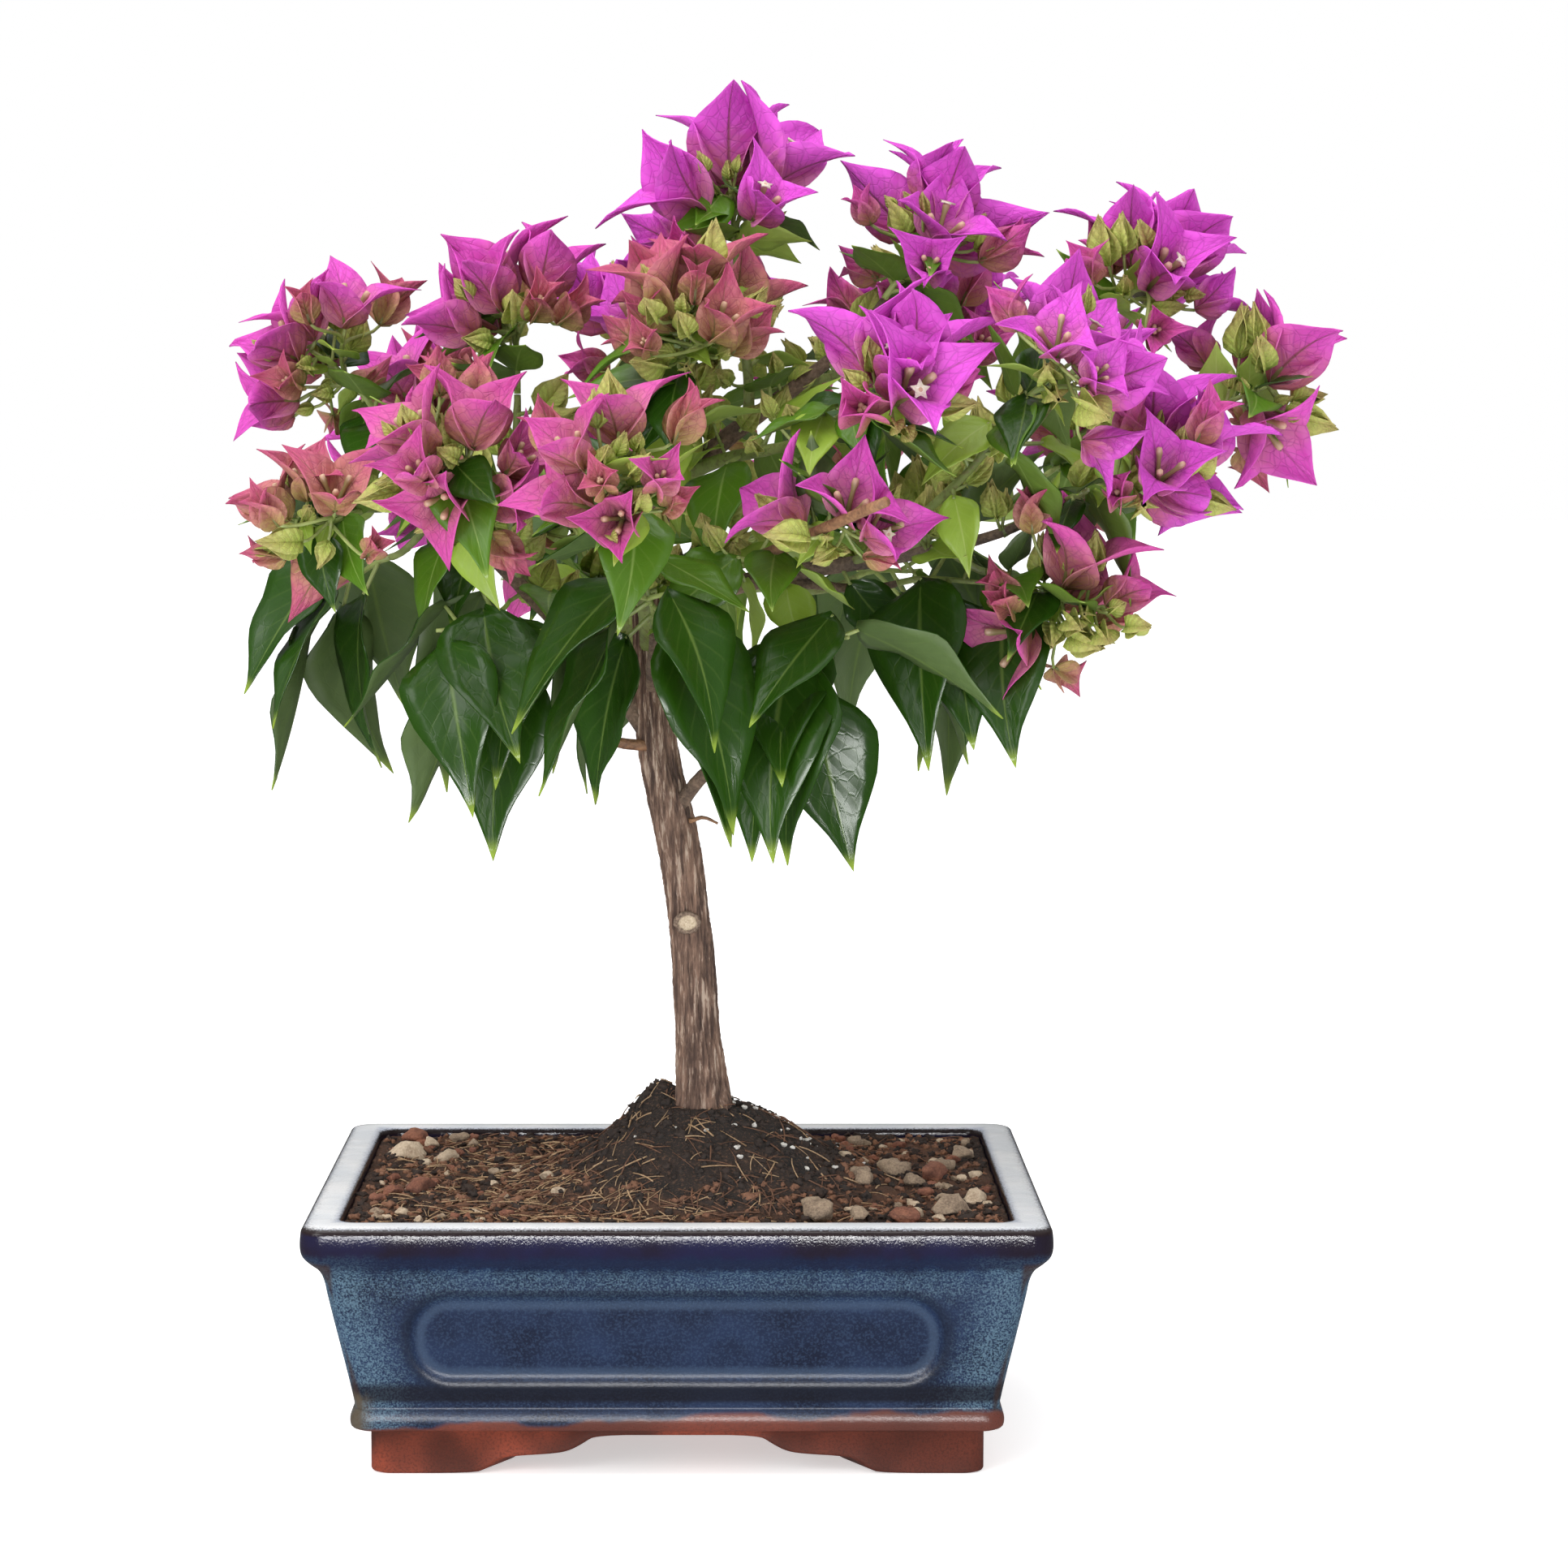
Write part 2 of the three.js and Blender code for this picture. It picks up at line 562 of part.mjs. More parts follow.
function limbSolid(limb, room = 0) {
  const radiusAt = (t) => limb.radiusAt(t) + room;
  return solidOf(taperedTube(limb.curve, radiusAt, limb.sides, limb.steps));
}

// What is already in the crown, so that a new twig or blade can be tried against it
const obstacles = [];

function addObstacle(solid, stemOf = null) {
  obstacles.push({ solid, stemOf, box: solid.boundingBox() });
}

function boxesMeet(a, b) {
  return a.min.every((low, i) => low <= b.max[i] && b.min[i] <= a.max[i]);
}

// Whether a solid is clear of the crown, apart from the stem of its own mass and the twig it is on
function isClear(spray, solid, ownTwig = null) {
  const box = solid.boundingBox();
  return obstacles.every((other) => (
    other.stemOf === spray.name
    || other.solid === ownTwig
    || !boxesMeet(box, other.box)
    || solid.intersect(other.solid).isEmpty()
  ));
}

function keepsToSpace(spray, shape) {
  return shape.outline.every((point) => point.distanceTo(spray.middle) <= spray.reach);
}

function twig(start, leaving, end, arriving, radius, steps) {
  const curve = reachingCurve(start, leaving, end, arriving);
  const tube = taperedTube(curve, taper(radius, TWIG_TIP_RADIUS), TWIG_SIDES, steps);
  return { curve, solid: solidOf(tube) };
}

// Tries one flower on its twig from a node of the stem, and returns its solids if there is room
function growFlower(spray, stem, axes, i, rand) {
  const share = spray.flowers > 1 ? i / (spray.flowers - 1) : 0;
  const node = FLOWER_NODE - FLOWER_NODE_RUN * share;
  const full = BRACT_LENGTH * (UNRIPE_SIZE + (1 - UNRIPE_SIZE) * spray.ripe);
  for (let attempt = 0; attempt < TRIES; attempt += 1) {
    const tilt = FLOWER_SPREAD * Math.sqrt(share) + byChance(rand, FLOWER_TILT);
    const round = spray.turn + i * GOLDEN_TURN + byChance(rand, FLOWER_TURN);
    const way = leaning(axes, tilt, round);
    const out = spray.reach * byChance(rand, FLOWER_SEAT);
    const seat = spray.middle.clone().addScaledVector(way, out);
    const facing = way.clone().addScaledVector(UP, FLOWER_RISE).normalize();
    const turn = byChance(rand, ANY_TURN);
    const open = byChance(rand, FLOWER_OPEN);
    const length = full * (byChance(rand, BLADE_SIZE) - SHRINK * attempt);
    const shape = flowerShape(seat, facing, length, turn, open, 0);
    if (keepsToSpace(spray, shape)) {
      const stalk = twig(
        stem.getPoint(node), stem.getTangent(node), seat, facing, TWIG_RADIUS, TWIG_STEPS,
      );
      const guard = lens(flowerShape(seat, facing, length, turn, open, BLADE_ROOM));
      if (isClear(spray, stalk.solid) && isClear(spray, guard)) {
        return { stalk, solid: lens(shape) };
      }
    }
  }
  return null;
}

// A bud on a flower's twig, its foot sunk in the twig
function growBud(spray, stalk, axes, rand) {
  const tilt = byChance(rand, BUD_TILT);
  const turn = byChance(rand, ANY_TURN);
  const place = byChance(rand, BUD_PLACE);
  const way = leaning(axes, tilt, turn);
  const root = stalk.curve.getPoint(place).addScaledVector(way, -ROOT_SINK);
  const bud = spindle(root, way, BUD_LENGTH, BUD_RADIUS);
  return isClear(spray, bud, stalk.solid) ? bud : null;
}

// A leaf from a node of the stem, its root sunk in the wood. Those of a skirt hang from a stalk
function growLeaf(spray, stem, axes, j, rand) {
  const outline = spray.hangs ? SKIRT_LEAF_OUTLINE : LEAF_OUTLINE;
  const full = spray.hangs ? SKIRT_LEAF_LENGTH : LEAF_LENGTH;
  const start = stem.getPoint(LEAF_NODE + LEAF_NODE_RUN * (j + 0.5) / spray.leaves);
  for (let attempt = 0; attempt < TRIES; attempt += 1) {
    const round = spray.turn + Math.PI / 2 + j * GOLDEN_TURN + byChance(rand, LEAF_TURN);
    const drop = byChance(rand, spray.hangs ? SKIRT_LEAF_DROP : LEAF_DROP);
    const size = full * (byChance(rand, BLADE_SIZE) - SHRINK * attempt);
    const out = leaning(axes, LEAF_LEAN, round);
    const along = out.clone().addScaledVector(UP, -drop).normalize();
    const across = new THREE.Vector3().crossVectors(UP, along).normalize();
    const end = start.clone().addScaledVector(out, spray.hangs ? LEAF_STALK * size : 0);
    const wood = spray.hangs ? [twig(start, out, end, out, TWIG_RADIUS, 1).solid] : [];
    const root = end.addScaledVector(along, -ROOT_SINK);
    const shape = leafShape(root, along, across, size, outline, 0);
    if (keepsToSpace(spray, shape)) {
      const guard = lens(leafShape(root, along, across, size, outline, BLADE_ROOM));
      if ([...wood, guard].every((solid) => isClear(spray, solid))) {
        return { wood, solid: lens(shape) };
      }
    }
  }
  return null;
}

// A mass of foliage: one stem from its limb's tip, with flowers, buds and leaves on it by a rule
function growMass(spray, limb, index) {
  const axes = squareTo(spray.crest.clone().sub(CROWN_HEART).normalize());
  const tipWay = limb.curve.getTangent(1);
  const root = limb.curve.getPoint(1).addScaledVector(tipWay, GAP);
  const apex = spray.crest.clone().addScaledVector(axes.axis, STEM_PAST * spray.reach);
  const stem = twig(root, tipWay, apex, axes.axis, STEM_RADIUS, STEM_STEPS);
  addObstacle(stem.solid, spray.name);
  const solids = [stem.solid];
  const keep = (solid) => {
    solids.push(solid);
    addObstacle(solid);
  };
  const stalks = [];
  const flowerRand = stream(3 * index + 1);
  for (let i = 0; i < spray.flowers; i += 1) {
    const flower = growFlower(spray, stem.curve, axes, i, flowerRand);
    if (flower) {
      stalks.push(flower.stalk);
      keep(flower.stalk.solid);
      keep(flower.solid);
    }
  }
  const leafRand = stream(3 * index + 2);
  for (let j = 0; j < spray.leaves; j += 1) {
    const leaf = growLeaf(spray, stem.curve, axes, j, leafRand);
    if (leaf) {
      leaf.wood.forEach(keep);
      keep(leaf.solid);
    }
  }
  const budRand = stream(3 * index + 3);
  for (let i = 0; i < spray.buds && stalks.length > 0; i += 1) {
    const bud = growBud(spray, stalks[i % stalks.length], axes, budRand);
    if (bud) {
      keep(bud);
    }
  }
  return mainBody(Manifold.union(solids));
}

// The whole plant in its pot
const plant = new THREE.Group();
plant.position.set(POT_X, POT_Y, 0);

function addPiece(name, solid, material) {
  const mesh = new THREE.Mesh(geometryOf(solid), material);
  mesh.name = name;
  plant.add(mesh);
}

const trunk = trunkLimb();
const limbs = new Map([['trunk', trunk]]);
addPiece('pot', makePot(), GLAZE);
addPiece('soil', makeSoil(trunk.curve.getPoint(0)), SOIL);
addPiece('trunk', makeTrunk(trunk), BARK);
addObstacle(limbSolid(trunk, GAP));

// Each limb is cut back from the limbs already there, so that it starts clear of them
for (const spray of SPRAYS) {
  const limb = sprayLimb(spray, limbs.get(spray.parent));
  limbs.set(spray.name, limb);
  const seated = obstacles.reduce((solid, other) => solid.subtract(other.solid), limbSolid(limb));
  addPiece(`bough_${spray.name}`, mainBody(seated), GREEN_BARK);
  addObstacle(limbSolid(limb, GAP));
}

SPRAYS.forEach((spray, index) => {
  const material = spray.hangs ? FOLIAGE : BLOSSOM;
  addPiece(`mass_${spray.name}`, growMass(spray, limbs.get(spray.name), index), material);
});

export default plant;
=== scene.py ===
# %% [markdown]
# # A flowering bonsai in a glazed pot
#
# The plant is a young bougainvillea with one leaning trunk, boughs that spread to one side, papery
# bracts in violet, rose and salmon, and a skirt of large glossy leaves. It stands in a rectangular
# blue pot on bracket feet.
#
# Everything is laid out in millimetres about the middle of the pot's footprint, and each finished
# mesh is then brought into the part's own frame in metres. That keeps the numbers readable.

# %% Load the part's solids as the frame
import json
import math

import bmesh
import bpy
import numpy as np
from mathutils import Matrix, Vector, noise
from mathutils.bvhtree import BVHTree

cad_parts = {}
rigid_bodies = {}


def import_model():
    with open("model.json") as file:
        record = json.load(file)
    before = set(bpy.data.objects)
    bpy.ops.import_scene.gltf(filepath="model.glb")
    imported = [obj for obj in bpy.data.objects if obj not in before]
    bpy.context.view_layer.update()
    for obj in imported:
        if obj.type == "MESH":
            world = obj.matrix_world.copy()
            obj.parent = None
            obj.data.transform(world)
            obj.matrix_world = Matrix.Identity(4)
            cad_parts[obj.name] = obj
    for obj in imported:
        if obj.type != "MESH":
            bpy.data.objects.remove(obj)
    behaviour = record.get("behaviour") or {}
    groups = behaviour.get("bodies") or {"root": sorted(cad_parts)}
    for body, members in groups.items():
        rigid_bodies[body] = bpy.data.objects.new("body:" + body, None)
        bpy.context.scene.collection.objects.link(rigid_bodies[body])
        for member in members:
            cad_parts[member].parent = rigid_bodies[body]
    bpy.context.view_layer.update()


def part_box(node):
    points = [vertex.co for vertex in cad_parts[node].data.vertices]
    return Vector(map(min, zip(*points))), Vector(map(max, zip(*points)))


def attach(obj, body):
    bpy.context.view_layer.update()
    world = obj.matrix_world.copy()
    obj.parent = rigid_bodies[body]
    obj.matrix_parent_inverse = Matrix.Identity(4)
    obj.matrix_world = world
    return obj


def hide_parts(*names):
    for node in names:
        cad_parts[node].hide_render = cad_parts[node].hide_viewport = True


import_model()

pot_low, pot_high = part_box("pot")
POT_MIDDLE = Vector(((pot_low.x + pot_high.x) / 2, (pot_low.y + pot_high.y) / 2, 0))
TO_PART = Matrix.Translation(POT_MIDDLE) @ Matrix.Scale(0.001, 4)
print("pot's middle in the part's frame:", tuple(round(c, 4) for c in POT_MIDDLE))

# %% [markdown]
# ## Handing a piece over
#
# A piece is a mesh object that sits at the origin, unturned and unscaled, with its place in its mesh.
# One helper does that for every piece: it moves the mesh from millimetres to the frame, smooths its
# shading, gives it its finish and hides the solids it stands for.


# %% Piece helper
def hand_over(name, mesh, finish, stands_for=()):
    mesh.transform(TO_PART)
    mesh.shade_smooth()
    mesh.materials.append(finish)
    piece = bpy.data.objects.new(name, mesh)
    bpy.context.scene.collection.objects.link(piece)
    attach(piece, "root")
    if stands_for:
        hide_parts(*stands_for)
    triangles = sum(len(face.vertices) - 2 for face in mesh.polygons)
    print(f"{name}: {triangles} triangles")
    return piece


def mesh_from(bm, name):
    mesh = bpy.data.meshes.new(name)
    bm.to_mesh(mesh)
    bm.free()
    return mesh


print("pieces are linked to:", bpy.context.scene.name)

# %% [markdown]
# ## Camera, floor and light
#
# The photograph is taken from about a metre away, a little above the crown's foot and looking slightly
# down, with a long lens, so upright lines stay upright. The light is a soft room: a large panel
# overhead, a bright surround and a pale floor. A broad panel gives leaves and glaze wide soft
# highlights, which a small lamp can't.

# %% Camera
eye = bpy.data.cameras.new("camera")
eye.sensor_width = 36
eye.lens = 85.06
eye.shift_x = 0.0442
camera = bpy.data.objects.new("camera", eye)
camera.location = TO_PART @ Vector((10.1, -1035.3, 284.5))
camera.rotation_euler = (math.radians(90 - 5.68), 0, 0)
bpy.context.scene.collection.objects.link(camera)
bpy.context.scene.camera = camera
bpy.context.scene.view_settings.view_transform = "Standard"
print("camera at", tuple(round(c, 3) for c in camera.location))


# %% Node helpers
def is_output(value):
    return isinstance(value, bpy.types.NodeSocket)


def wire(node, inputs):
    """For each named input of a node: a value, or another node's output."""
    for label, value in inputs.items():
        if is_output(value):
            node.id_data.links.new(value, node.inputs[label])
        else:
            node.inputs[label].default_value = value


def add_node(tree, kind, inputs=None, **settings):
    made = tree.nodes.new(kind)
    for label, value in settings.items():
        setattr(made, label, value)
    wire(made, inputs or {})
    return made


def tree_of(*values):
    """The node tree of the first output among some values, so that a sum needn't be told its tree."""
    return next(value.id_data for value in values if is_output(value))


print("node helpers ready")


# %% Sums and soft steps of outputs
def reckon(operation, first, second=0.0, third=0.0):
    inputs = {0: first, 1: second, 2: third}
    return add_node(tree_of(first, second, third), "ShaderNodeMath", inputs, operation=operation).outputs[0]


def plus(first, second):
    return reckon("ADD", first, second)


def minus(first, second):
    return reckon("SUBTRACT", first, second)


def times(first, second):
    return reckon("MULTIPLY", first, second)


def step_between(value, low, high, to_low=0.0, to_high=1.0):
    inputs = {"Value": value, "From Min": low, "From Max": high, "To Min": to_low, "To Max": to_high}
    made = add_node(value.id_data, "ShaderNodeMapRange", inputs, interpolation_type="SMOOTHSTEP")
    return made.outputs["Result"]


print("sums and soft steps ready")


# %% Colour, noise, place and relief
def blend(share, first, second):
    colours = [value if is_output(value) else (*value, 1) for value in (first, second)]
    made = add_node(tree_of(share, first, second), "ShaderNodeMix", data_type="RGBA")
    wire(made, {0: share, 6: colours[0], 7: colours[1]})
    return made.outputs[2]


def clouds(place, scale, detail=3.0, rough=0.55):
    inputs = {"Vector": place, "Scale": scale, "Detail": detail, "Roughness": rough}
    return add_node(place.id_data, "ShaderNodeTexNoise", inputs).outputs["Fac"]


def new_finish(name):
    finish = bpy.data.materials.new(name)
    finish.use_nodes = True
    return finish, finish.node_tree, finish.node_tree.nodes["Principled BSDF"]


def millimetres(tree, stretch=(1, 1, 1)):
    """Object coordinates in millimetres about the pot's middle, stretched along the axes."""
    coords = add_node(tree, "ShaderNodeTexCoord")
    scale = [1000 * s for s in stretch]
    offset = [-c * s for c, s in zip(POT_MIDDLE, scale)]
    inputs = {"Vector": coords.outputs["Object"], "Location": offset, "Scale": scale}
    return add_node(tree, "ShaderNodeMapping", inputs).outputs[0]


def axes_of(place):
    return add_node(place.id_data, "ShaderNodeSeparateXYZ", {0: place}).outputs


def bump(shader, height, strength, distance):
    inputs = {"Height": height, "Strength": strength, "Distance": distance}
    wire(shader, {"Normal": add_node(shader.id_data, "ShaderNodeBump", inputs).outputs[0]})


print("helpers for colour and relief ready")

# %% Floor
floor_finish, _, floor_shader = new_finish("floor")
wire(floor_shader, {"Base Color": (0.9, 0.9, 0.9, 1), "Roughness": 0.9})
wire(floor_shader, {"Emission Color": (1, 1, 1, 1), "Emission Strength": 0.5})
bm = bmesh.new()
bmesh.ops.create_grid(bm, x_segments=1, y_segments=1, size=9)
floor_mesh = mesh_from(bm, "floor")
floor_mesh.materials.append(floor_finish)
floor = bpy.data.objects.new("floor", floor_mesh)
floor.visible_glossy = False
bpy.context.scene.collection.objects.link(floor)
print("floor ready")

# %% Surround
SURROUND = 0.9
world = bpy.data.worlds.new("surround")
bpy.context.scene.world = world
world.use_nodes = True
path = add_node(world.node_tree, "ShaderNodeLightPath").outputs
aim = add_node(world.node_tree, "ShaderNodeTexCoord").outputs["Generated"]
# What is mirrored gets darker downwards, and behind the plant the surround is plain white
mirrored = step_between(axes_of(aim)["Z"], 0.2, 0.9, 0.15, SURROUND)
glow = reckon("MULTIPLY_ADD", path["Is Glossy Ray"], minus(mirrored, SURROUND), SURROUND)
glow = reckon("MAXIMUM", glow, path["Is Camera Ray"])
wire(world.node_tree.nodes["Background"], {"Color": (1, 1, 1, 1), "Strength": glow})
print("surround ready")


# %% Light panels
def light_panel(name, place, aim, width, height, watts):
    data = bpy.data.lights.new(name, "AREA")
    data.shape = "RECTANGLE"
    data.size = width
    data.size_y = height
    data.energy = watts
    panel = bpy.data.objects.new(name, data)
    panel.location = TO_PART @ Vector(place)
    way = (TO_PART @ Vector(aim)) - panel.location
    panel.rotation_euler = way.to_track_quat("-Z", "Y").to_euler()
    panel.visible_camera = False
    bpy.context.scene.collection.objects.link(panel)
    return panel


PLANT, FRONT_RIM = (20, 0, 200), (-20, -75, 66)
light_panel("overhead", (-150, -250, 1300), PLANT, width=1.0, height=0.8, watts=8.5)
light_panel("front_left", (-750, -1000, 800), PLANT, width=0.7, height=0.7, watts=6.0)
strip = light_panel("rim_strip", (-20, -560, 118), FRONT_RIM, width=0.5, height=0.05, watts=4.2)
strip.visible_diffuse = False
print("light panels:", [light.name for light in bpy.data.lights])

# %% [markdown]
# ## The pot
#
# The pot is slip-cast clay: a rectangle with round corners that narrows downwards, with a rolled rim,
# a bead under the walls and bracket feet. A turned shape would be spun, but this one has a
# rectangular plan. So one loop of edges, a rectangle with bevelled corners, is extruded ring by ring
# along the outline of the wall, and scaled in and out as it goes.

# %% The pot's sizes
POT_HALF = Vector((100, 75))
PLAN_CORNER = 6
RIM_TOP = 71.0
FOOT_INSET = 17.0
FOOT_TOP = 12.5
FOOT_WALL = 13.0
FOOT_HOLLOW = 10.8
WALL_FOOT = (13.4, 18.6)
WALL_TOP = (6.5, 50.8)
ROW_HEIGHT = 1.3
# Outside of the wall over the rim and down into the pot: how far in from the rim's edge, and height
WALL_OUTLINE = [
    (FOOT_INSET, FOOT_TOP), (12.4, FOOT_TOP + 0.2), (11.6, 15.5), (12.6, 18.6), WALL_FOOT, WALL_TOP,
    (6.0, 54.4), (4.8, 57.8), (2.2, 60.2), (0.5, 62.2), (-0.1, 64.6), (0, 67.6), (0.4, 70.4),
    (3.2, RIM_TOP), (8.0, RIM_TOP), (10.2, 70.6), (10.3, 67), (11.5, 58),
]


def rounded(outline):
    """Cuts the corners of an outline twice, which rounds it, and adds rows on the long stretches."""
    for _ in range(2):
        cut = [outline[0]]
        for (a, b), (c, d) in zip(outline, outline[1:]):
            cut += [(0.75 * a + 0.25 * c, 0.75 * b + 0.25 * d), (0.25 * a + 0.75 * c, 0.25 * b + 0.75 * d)]
        outline = [*cut, outline[-1]]
    rows = [outline[0]]
    for (a, b), (c, d) in zip(outline, outline[1:]):
        count = max(1, round(math.hypot(c - a, d - b) / ROW_HEIGHT))
        rows += [(a + (c - a) * k / count, b + (d - b) * k / count) for k in range(1, count + 1)]
    return rows


wall_rows = rounded(WALL_OUTLINE)
print("rows of the pot's wall:", len(wall_rows))


# %% The loop of edges, and how a ring is added to it
def ring_from(bm, edges):
    """Extrudes a loop of edges, and returns the new points and the new loop."""
    made = bmesh.ops.extrude_edge_only(bm, edges=edges)["geom"]
    verts = [item for item in made if isinstance(item, bmesh.types.BMVert)]
    edges = [item for item in made if isinstance(item, bmesh.types.BMEdge)]
    fresh = set(verts)
    return verts, [edge for edge in edges if set(edge.verts) <= fresh]


def shift_ring(bm, verts, inset_from, inset_to, rise):
    sizes = [(half - inset_to) / (half - inset_from) for half in POT_HALF]
    bmesh.ops.scale(bm, vec=(*sizes, 1), verts=verts)
    bmesh.ops.translate(bm, vec=(0, 0, rise), verts=verts)


def pot_loop(bm):
    bmesh.ops.create_grid(bm, x_segments=1, y_segments=1, size=1)
    bmesh.ops.scale(bm, vec=(*POT_HALF, 1), verts=bm.verts)
    bevel = {"affect": "VERTICES", "offset": PLAN_CORNER, "segments": 7, "profile": 0.5, "material": -1}
    bmesh.ops.bevel(bm, geom=bm.verts[:], **bevel)
    bmesh.ops.delete(bm, geom=bm.faces[:], context="FACES_ONLY")
    for axis, cuts in ((0, 150), (1, 110)):
        long = [e for e in bm.edges if abs(e.verts[0].co[axis] - e.verts[1].co[axis]) > 40]
        bmesh.ops.subdivide_edges(bm, edges=long, cuts=cuts)
    shift_ring(bm, bm.verts, 0, FOOT_INSET, FOOT_TOP)
    return bm.edges[:]


pot = bmesh.new()
start_loop = pot_loop(pot)
print("edges in the loop:", len(start_loop))

# %% Walls and rim
loop = start_loop
for (inset, height), (next_inset, next_height) in zip(wall_rows, wall_rows[1:]):
    verts, loop = ring_from(pot, loop)
    shift_ring(pot, verts, inset, next_inset, next_height - height)
bmesh.ops.contextual_create(pot, geom=loop)
print("pot walls:", len(pot.faces), "faces")

# %% [markdown]
# The feet are what is left of a low wall after a bracket is cut out of each side: a flat foot, an
# S-curve, a step and an arch. The lower edge of the loop can simply follow that line, because each
# point of it may go down by its own amount.

# %% Bracket feet
# Share of the way from the middle of a side to its corner, and height of the lower edge
BRACKET = [
    (0, 10.5), (0.27, 10.5), (0.31, 8.2), (0.36, 6.0), (0.42, 5.3), (0.55, 4.7), (0.59, 3.6), (0.63, 1.2),
    (0.67, 0), (1, 0),
]
# How far in from the outside of the foot each ring lies, and how far above the lower edge
FOOT_RINGS = [(0, 0.9), (0.3, 0.3), (0.9, 0), (FOOT_WALL, 0)]
bracket_line = list(zip(*rounded(BRACKET)))


def foot_line(point):
    """Height of the lower edge at a point of the foot's outline."""
    foot = [half - FOOT_INSET for half in POT_HALF]
    shares = [abs(point[axis]) / foot[axis] for axis in (0, 1)]
    share = shares[0] if shares[1] > 0.985 else shares[1]
    return float(np.interp(share, *bracket_line))


inset, loop = FOOT_INSET, start_loop
for further, lift in FOOT_RINGS:
    next_inset = FOOT_INSET + further
    verts, loop = ring_from(pot, loop)
    for vert in verts:
        vert.co.z = foot_line(vert.co * ((POT_HALF.x - FOOT_INSET) / (POT_HALF.x - inset))) + lift
    shift_ring(pot, verts, inset, next_inset, 0)
    inset = next_inset
verts, loop = ring_from(pot, loop)
for vert in verts:
    vert.co.z = FOOT_HOLLOW
bmesh.ops.contextual_create(pot, geom=loop)
print("pot with feet:", len(pot.faces), "faces")

# %% [markdown]
# Each wall has a shallow sunk panel with round ends. Its edge is soft under the glaze, so the points of
# the wall are moved in by a smooth step over the distance to the panel's outline.

# %% Sunk panels
PANEL_MIDDLE, PANEL_HALF_HEIGHT, PANEL_CORNER, PANEL_SINK = 38.8, 12.0, 11.0, 1.9
PANEL_HALF_LENGTH = {1: 71.0, 0: 51.0}
PANEL_FAR = 20


def smooth_step(low, high, value):
    share = min(max((value - low) / (high - low), 0), 1)
    return share * share * (3 - 2 * share)


def sink_panel(point):
    """Moves a point of the wall in, and returns its distance from the panel's outline."""
    height = (point.z - WALL_FOOT[1]) / (WALL_TOP[1] - WALL_FOOT[1])
    inset = WALL_FOOT[0] + (WALL_TOP[0] - WALL_FOOT[0]) * height
    for axis, half_length in PANEL_HALF_LENGTH.items():
        if abs(abs(point[axis]) - (POT_HALF[axis] - inset)) < 0.5:
            out = abs(point[1 - axis]) - (half_length - PANEL_CORNER)
            up = abs(point.z - PANEL_MIDDLE) - (PANEL_HALF_HEIGHT - PANEL_CORNER)
            apart = math.hypot(max(out, 0), max(up, 0)) + min(max(out, up), 0) - PANEL_CORNER
            point[axis] -= math.copysign(PANEL_SINK * smooth_step(1.2, -1.6, apart), point[axis])
            return apart
    return PANEL_FAR


panel_apart = pot.verts.layers.float.new("panel_apart")
for vert in pot.verts:
    on_wall = WALL_FOOT[1] + 2 < vert.co.z < WALL_TOP[1] + 3
    vert[panel_apart] = sink_panel(vert.co) if on_wall else PANEL_FAR
bmesh.ops.recalc_face_normals(pot, faces=pot.faces)
pot_mesh = mesh_from(pot, "pot")
print("panels sunk by", PANEL_SINK, "mm")

# %% [markdown]
# ### Glaze and clay
#
# The glaze is a mottled blue that runs: pale teal and speckled high on the walls and near the corners,
# navy in the panel, dark under the lip and purple-brown where it thins over the rim's edge. It stops
# in a wavering line at the bead, and the feet are bare red clay. All of this follows height and
# place on the pot, so the masks are made from the pot's own coordinates. Two effects that stone, bark
# and clay share, broad clouds and fine grain, are one node group.


# %% Shared grain group
def new_group(name, inputs, outputs):
    group = bpy.data.node_groups.new(name, "ShaderNodeTree")
    for label, kind in inputs:
        group.interface.new_socket(name=label, in_out="INPUT", socket_type=kind)
    for label, kind in outputs:
        group.interface.new_socket(name=label, in_out="OUTPUT", socket_type=kind)
    return group, group.nodes.new("NodeGroupInput"), group.nodes.new("NodeGroupOutput")


grain_group, given, wanted = new_group(
    "natural_grain",
    [("Place", "NodeSocketVector"), ("Cloud Scale", "NodeSocketFloat"), ("Grain Scale", "NodeSocketFloat")],
    [("Clouds", "NodeSocketFloat"), ("Grain", "NodeSocketFloat")],
)
for scale, result, detail in (("Cloud Scale", "Clouds", 3.0), ("Grain Scale", "Grain", 4.0)):
    made = clouds(given.outputs["Place"], given.outputs[scale], detail, 0.6)
    wire(wanted, {result: step_between(made, 0.3, 0.7)})
print("group made:", grain_group.name)


def natural_grain(place, cloud_scale, grain_scale):
    inputs = {"Place": place, "Cloud Scale": cloud_scale, "Grain Scale": grain_scale}
    made = add_node(place.id_data, "ShaderNodeGroup", inputs, node_tree=grain_group)
    return made.outputs["Clouds"], made.outputs["Grain"]


# %% Glaze and its places on the pot
glaze, tree, shader = new_finish("glaze")
place = millimetres(tree)
axes = axes_of(place)
height = axes["Z"]
cloud, speck = natural_grain(place, 0.045, 1.5)
runs = clouds(millimetres(tree, (1, 1, 0.16)), 0.35, 3.0)
fine = clouds(place, 1.9, 2.0)

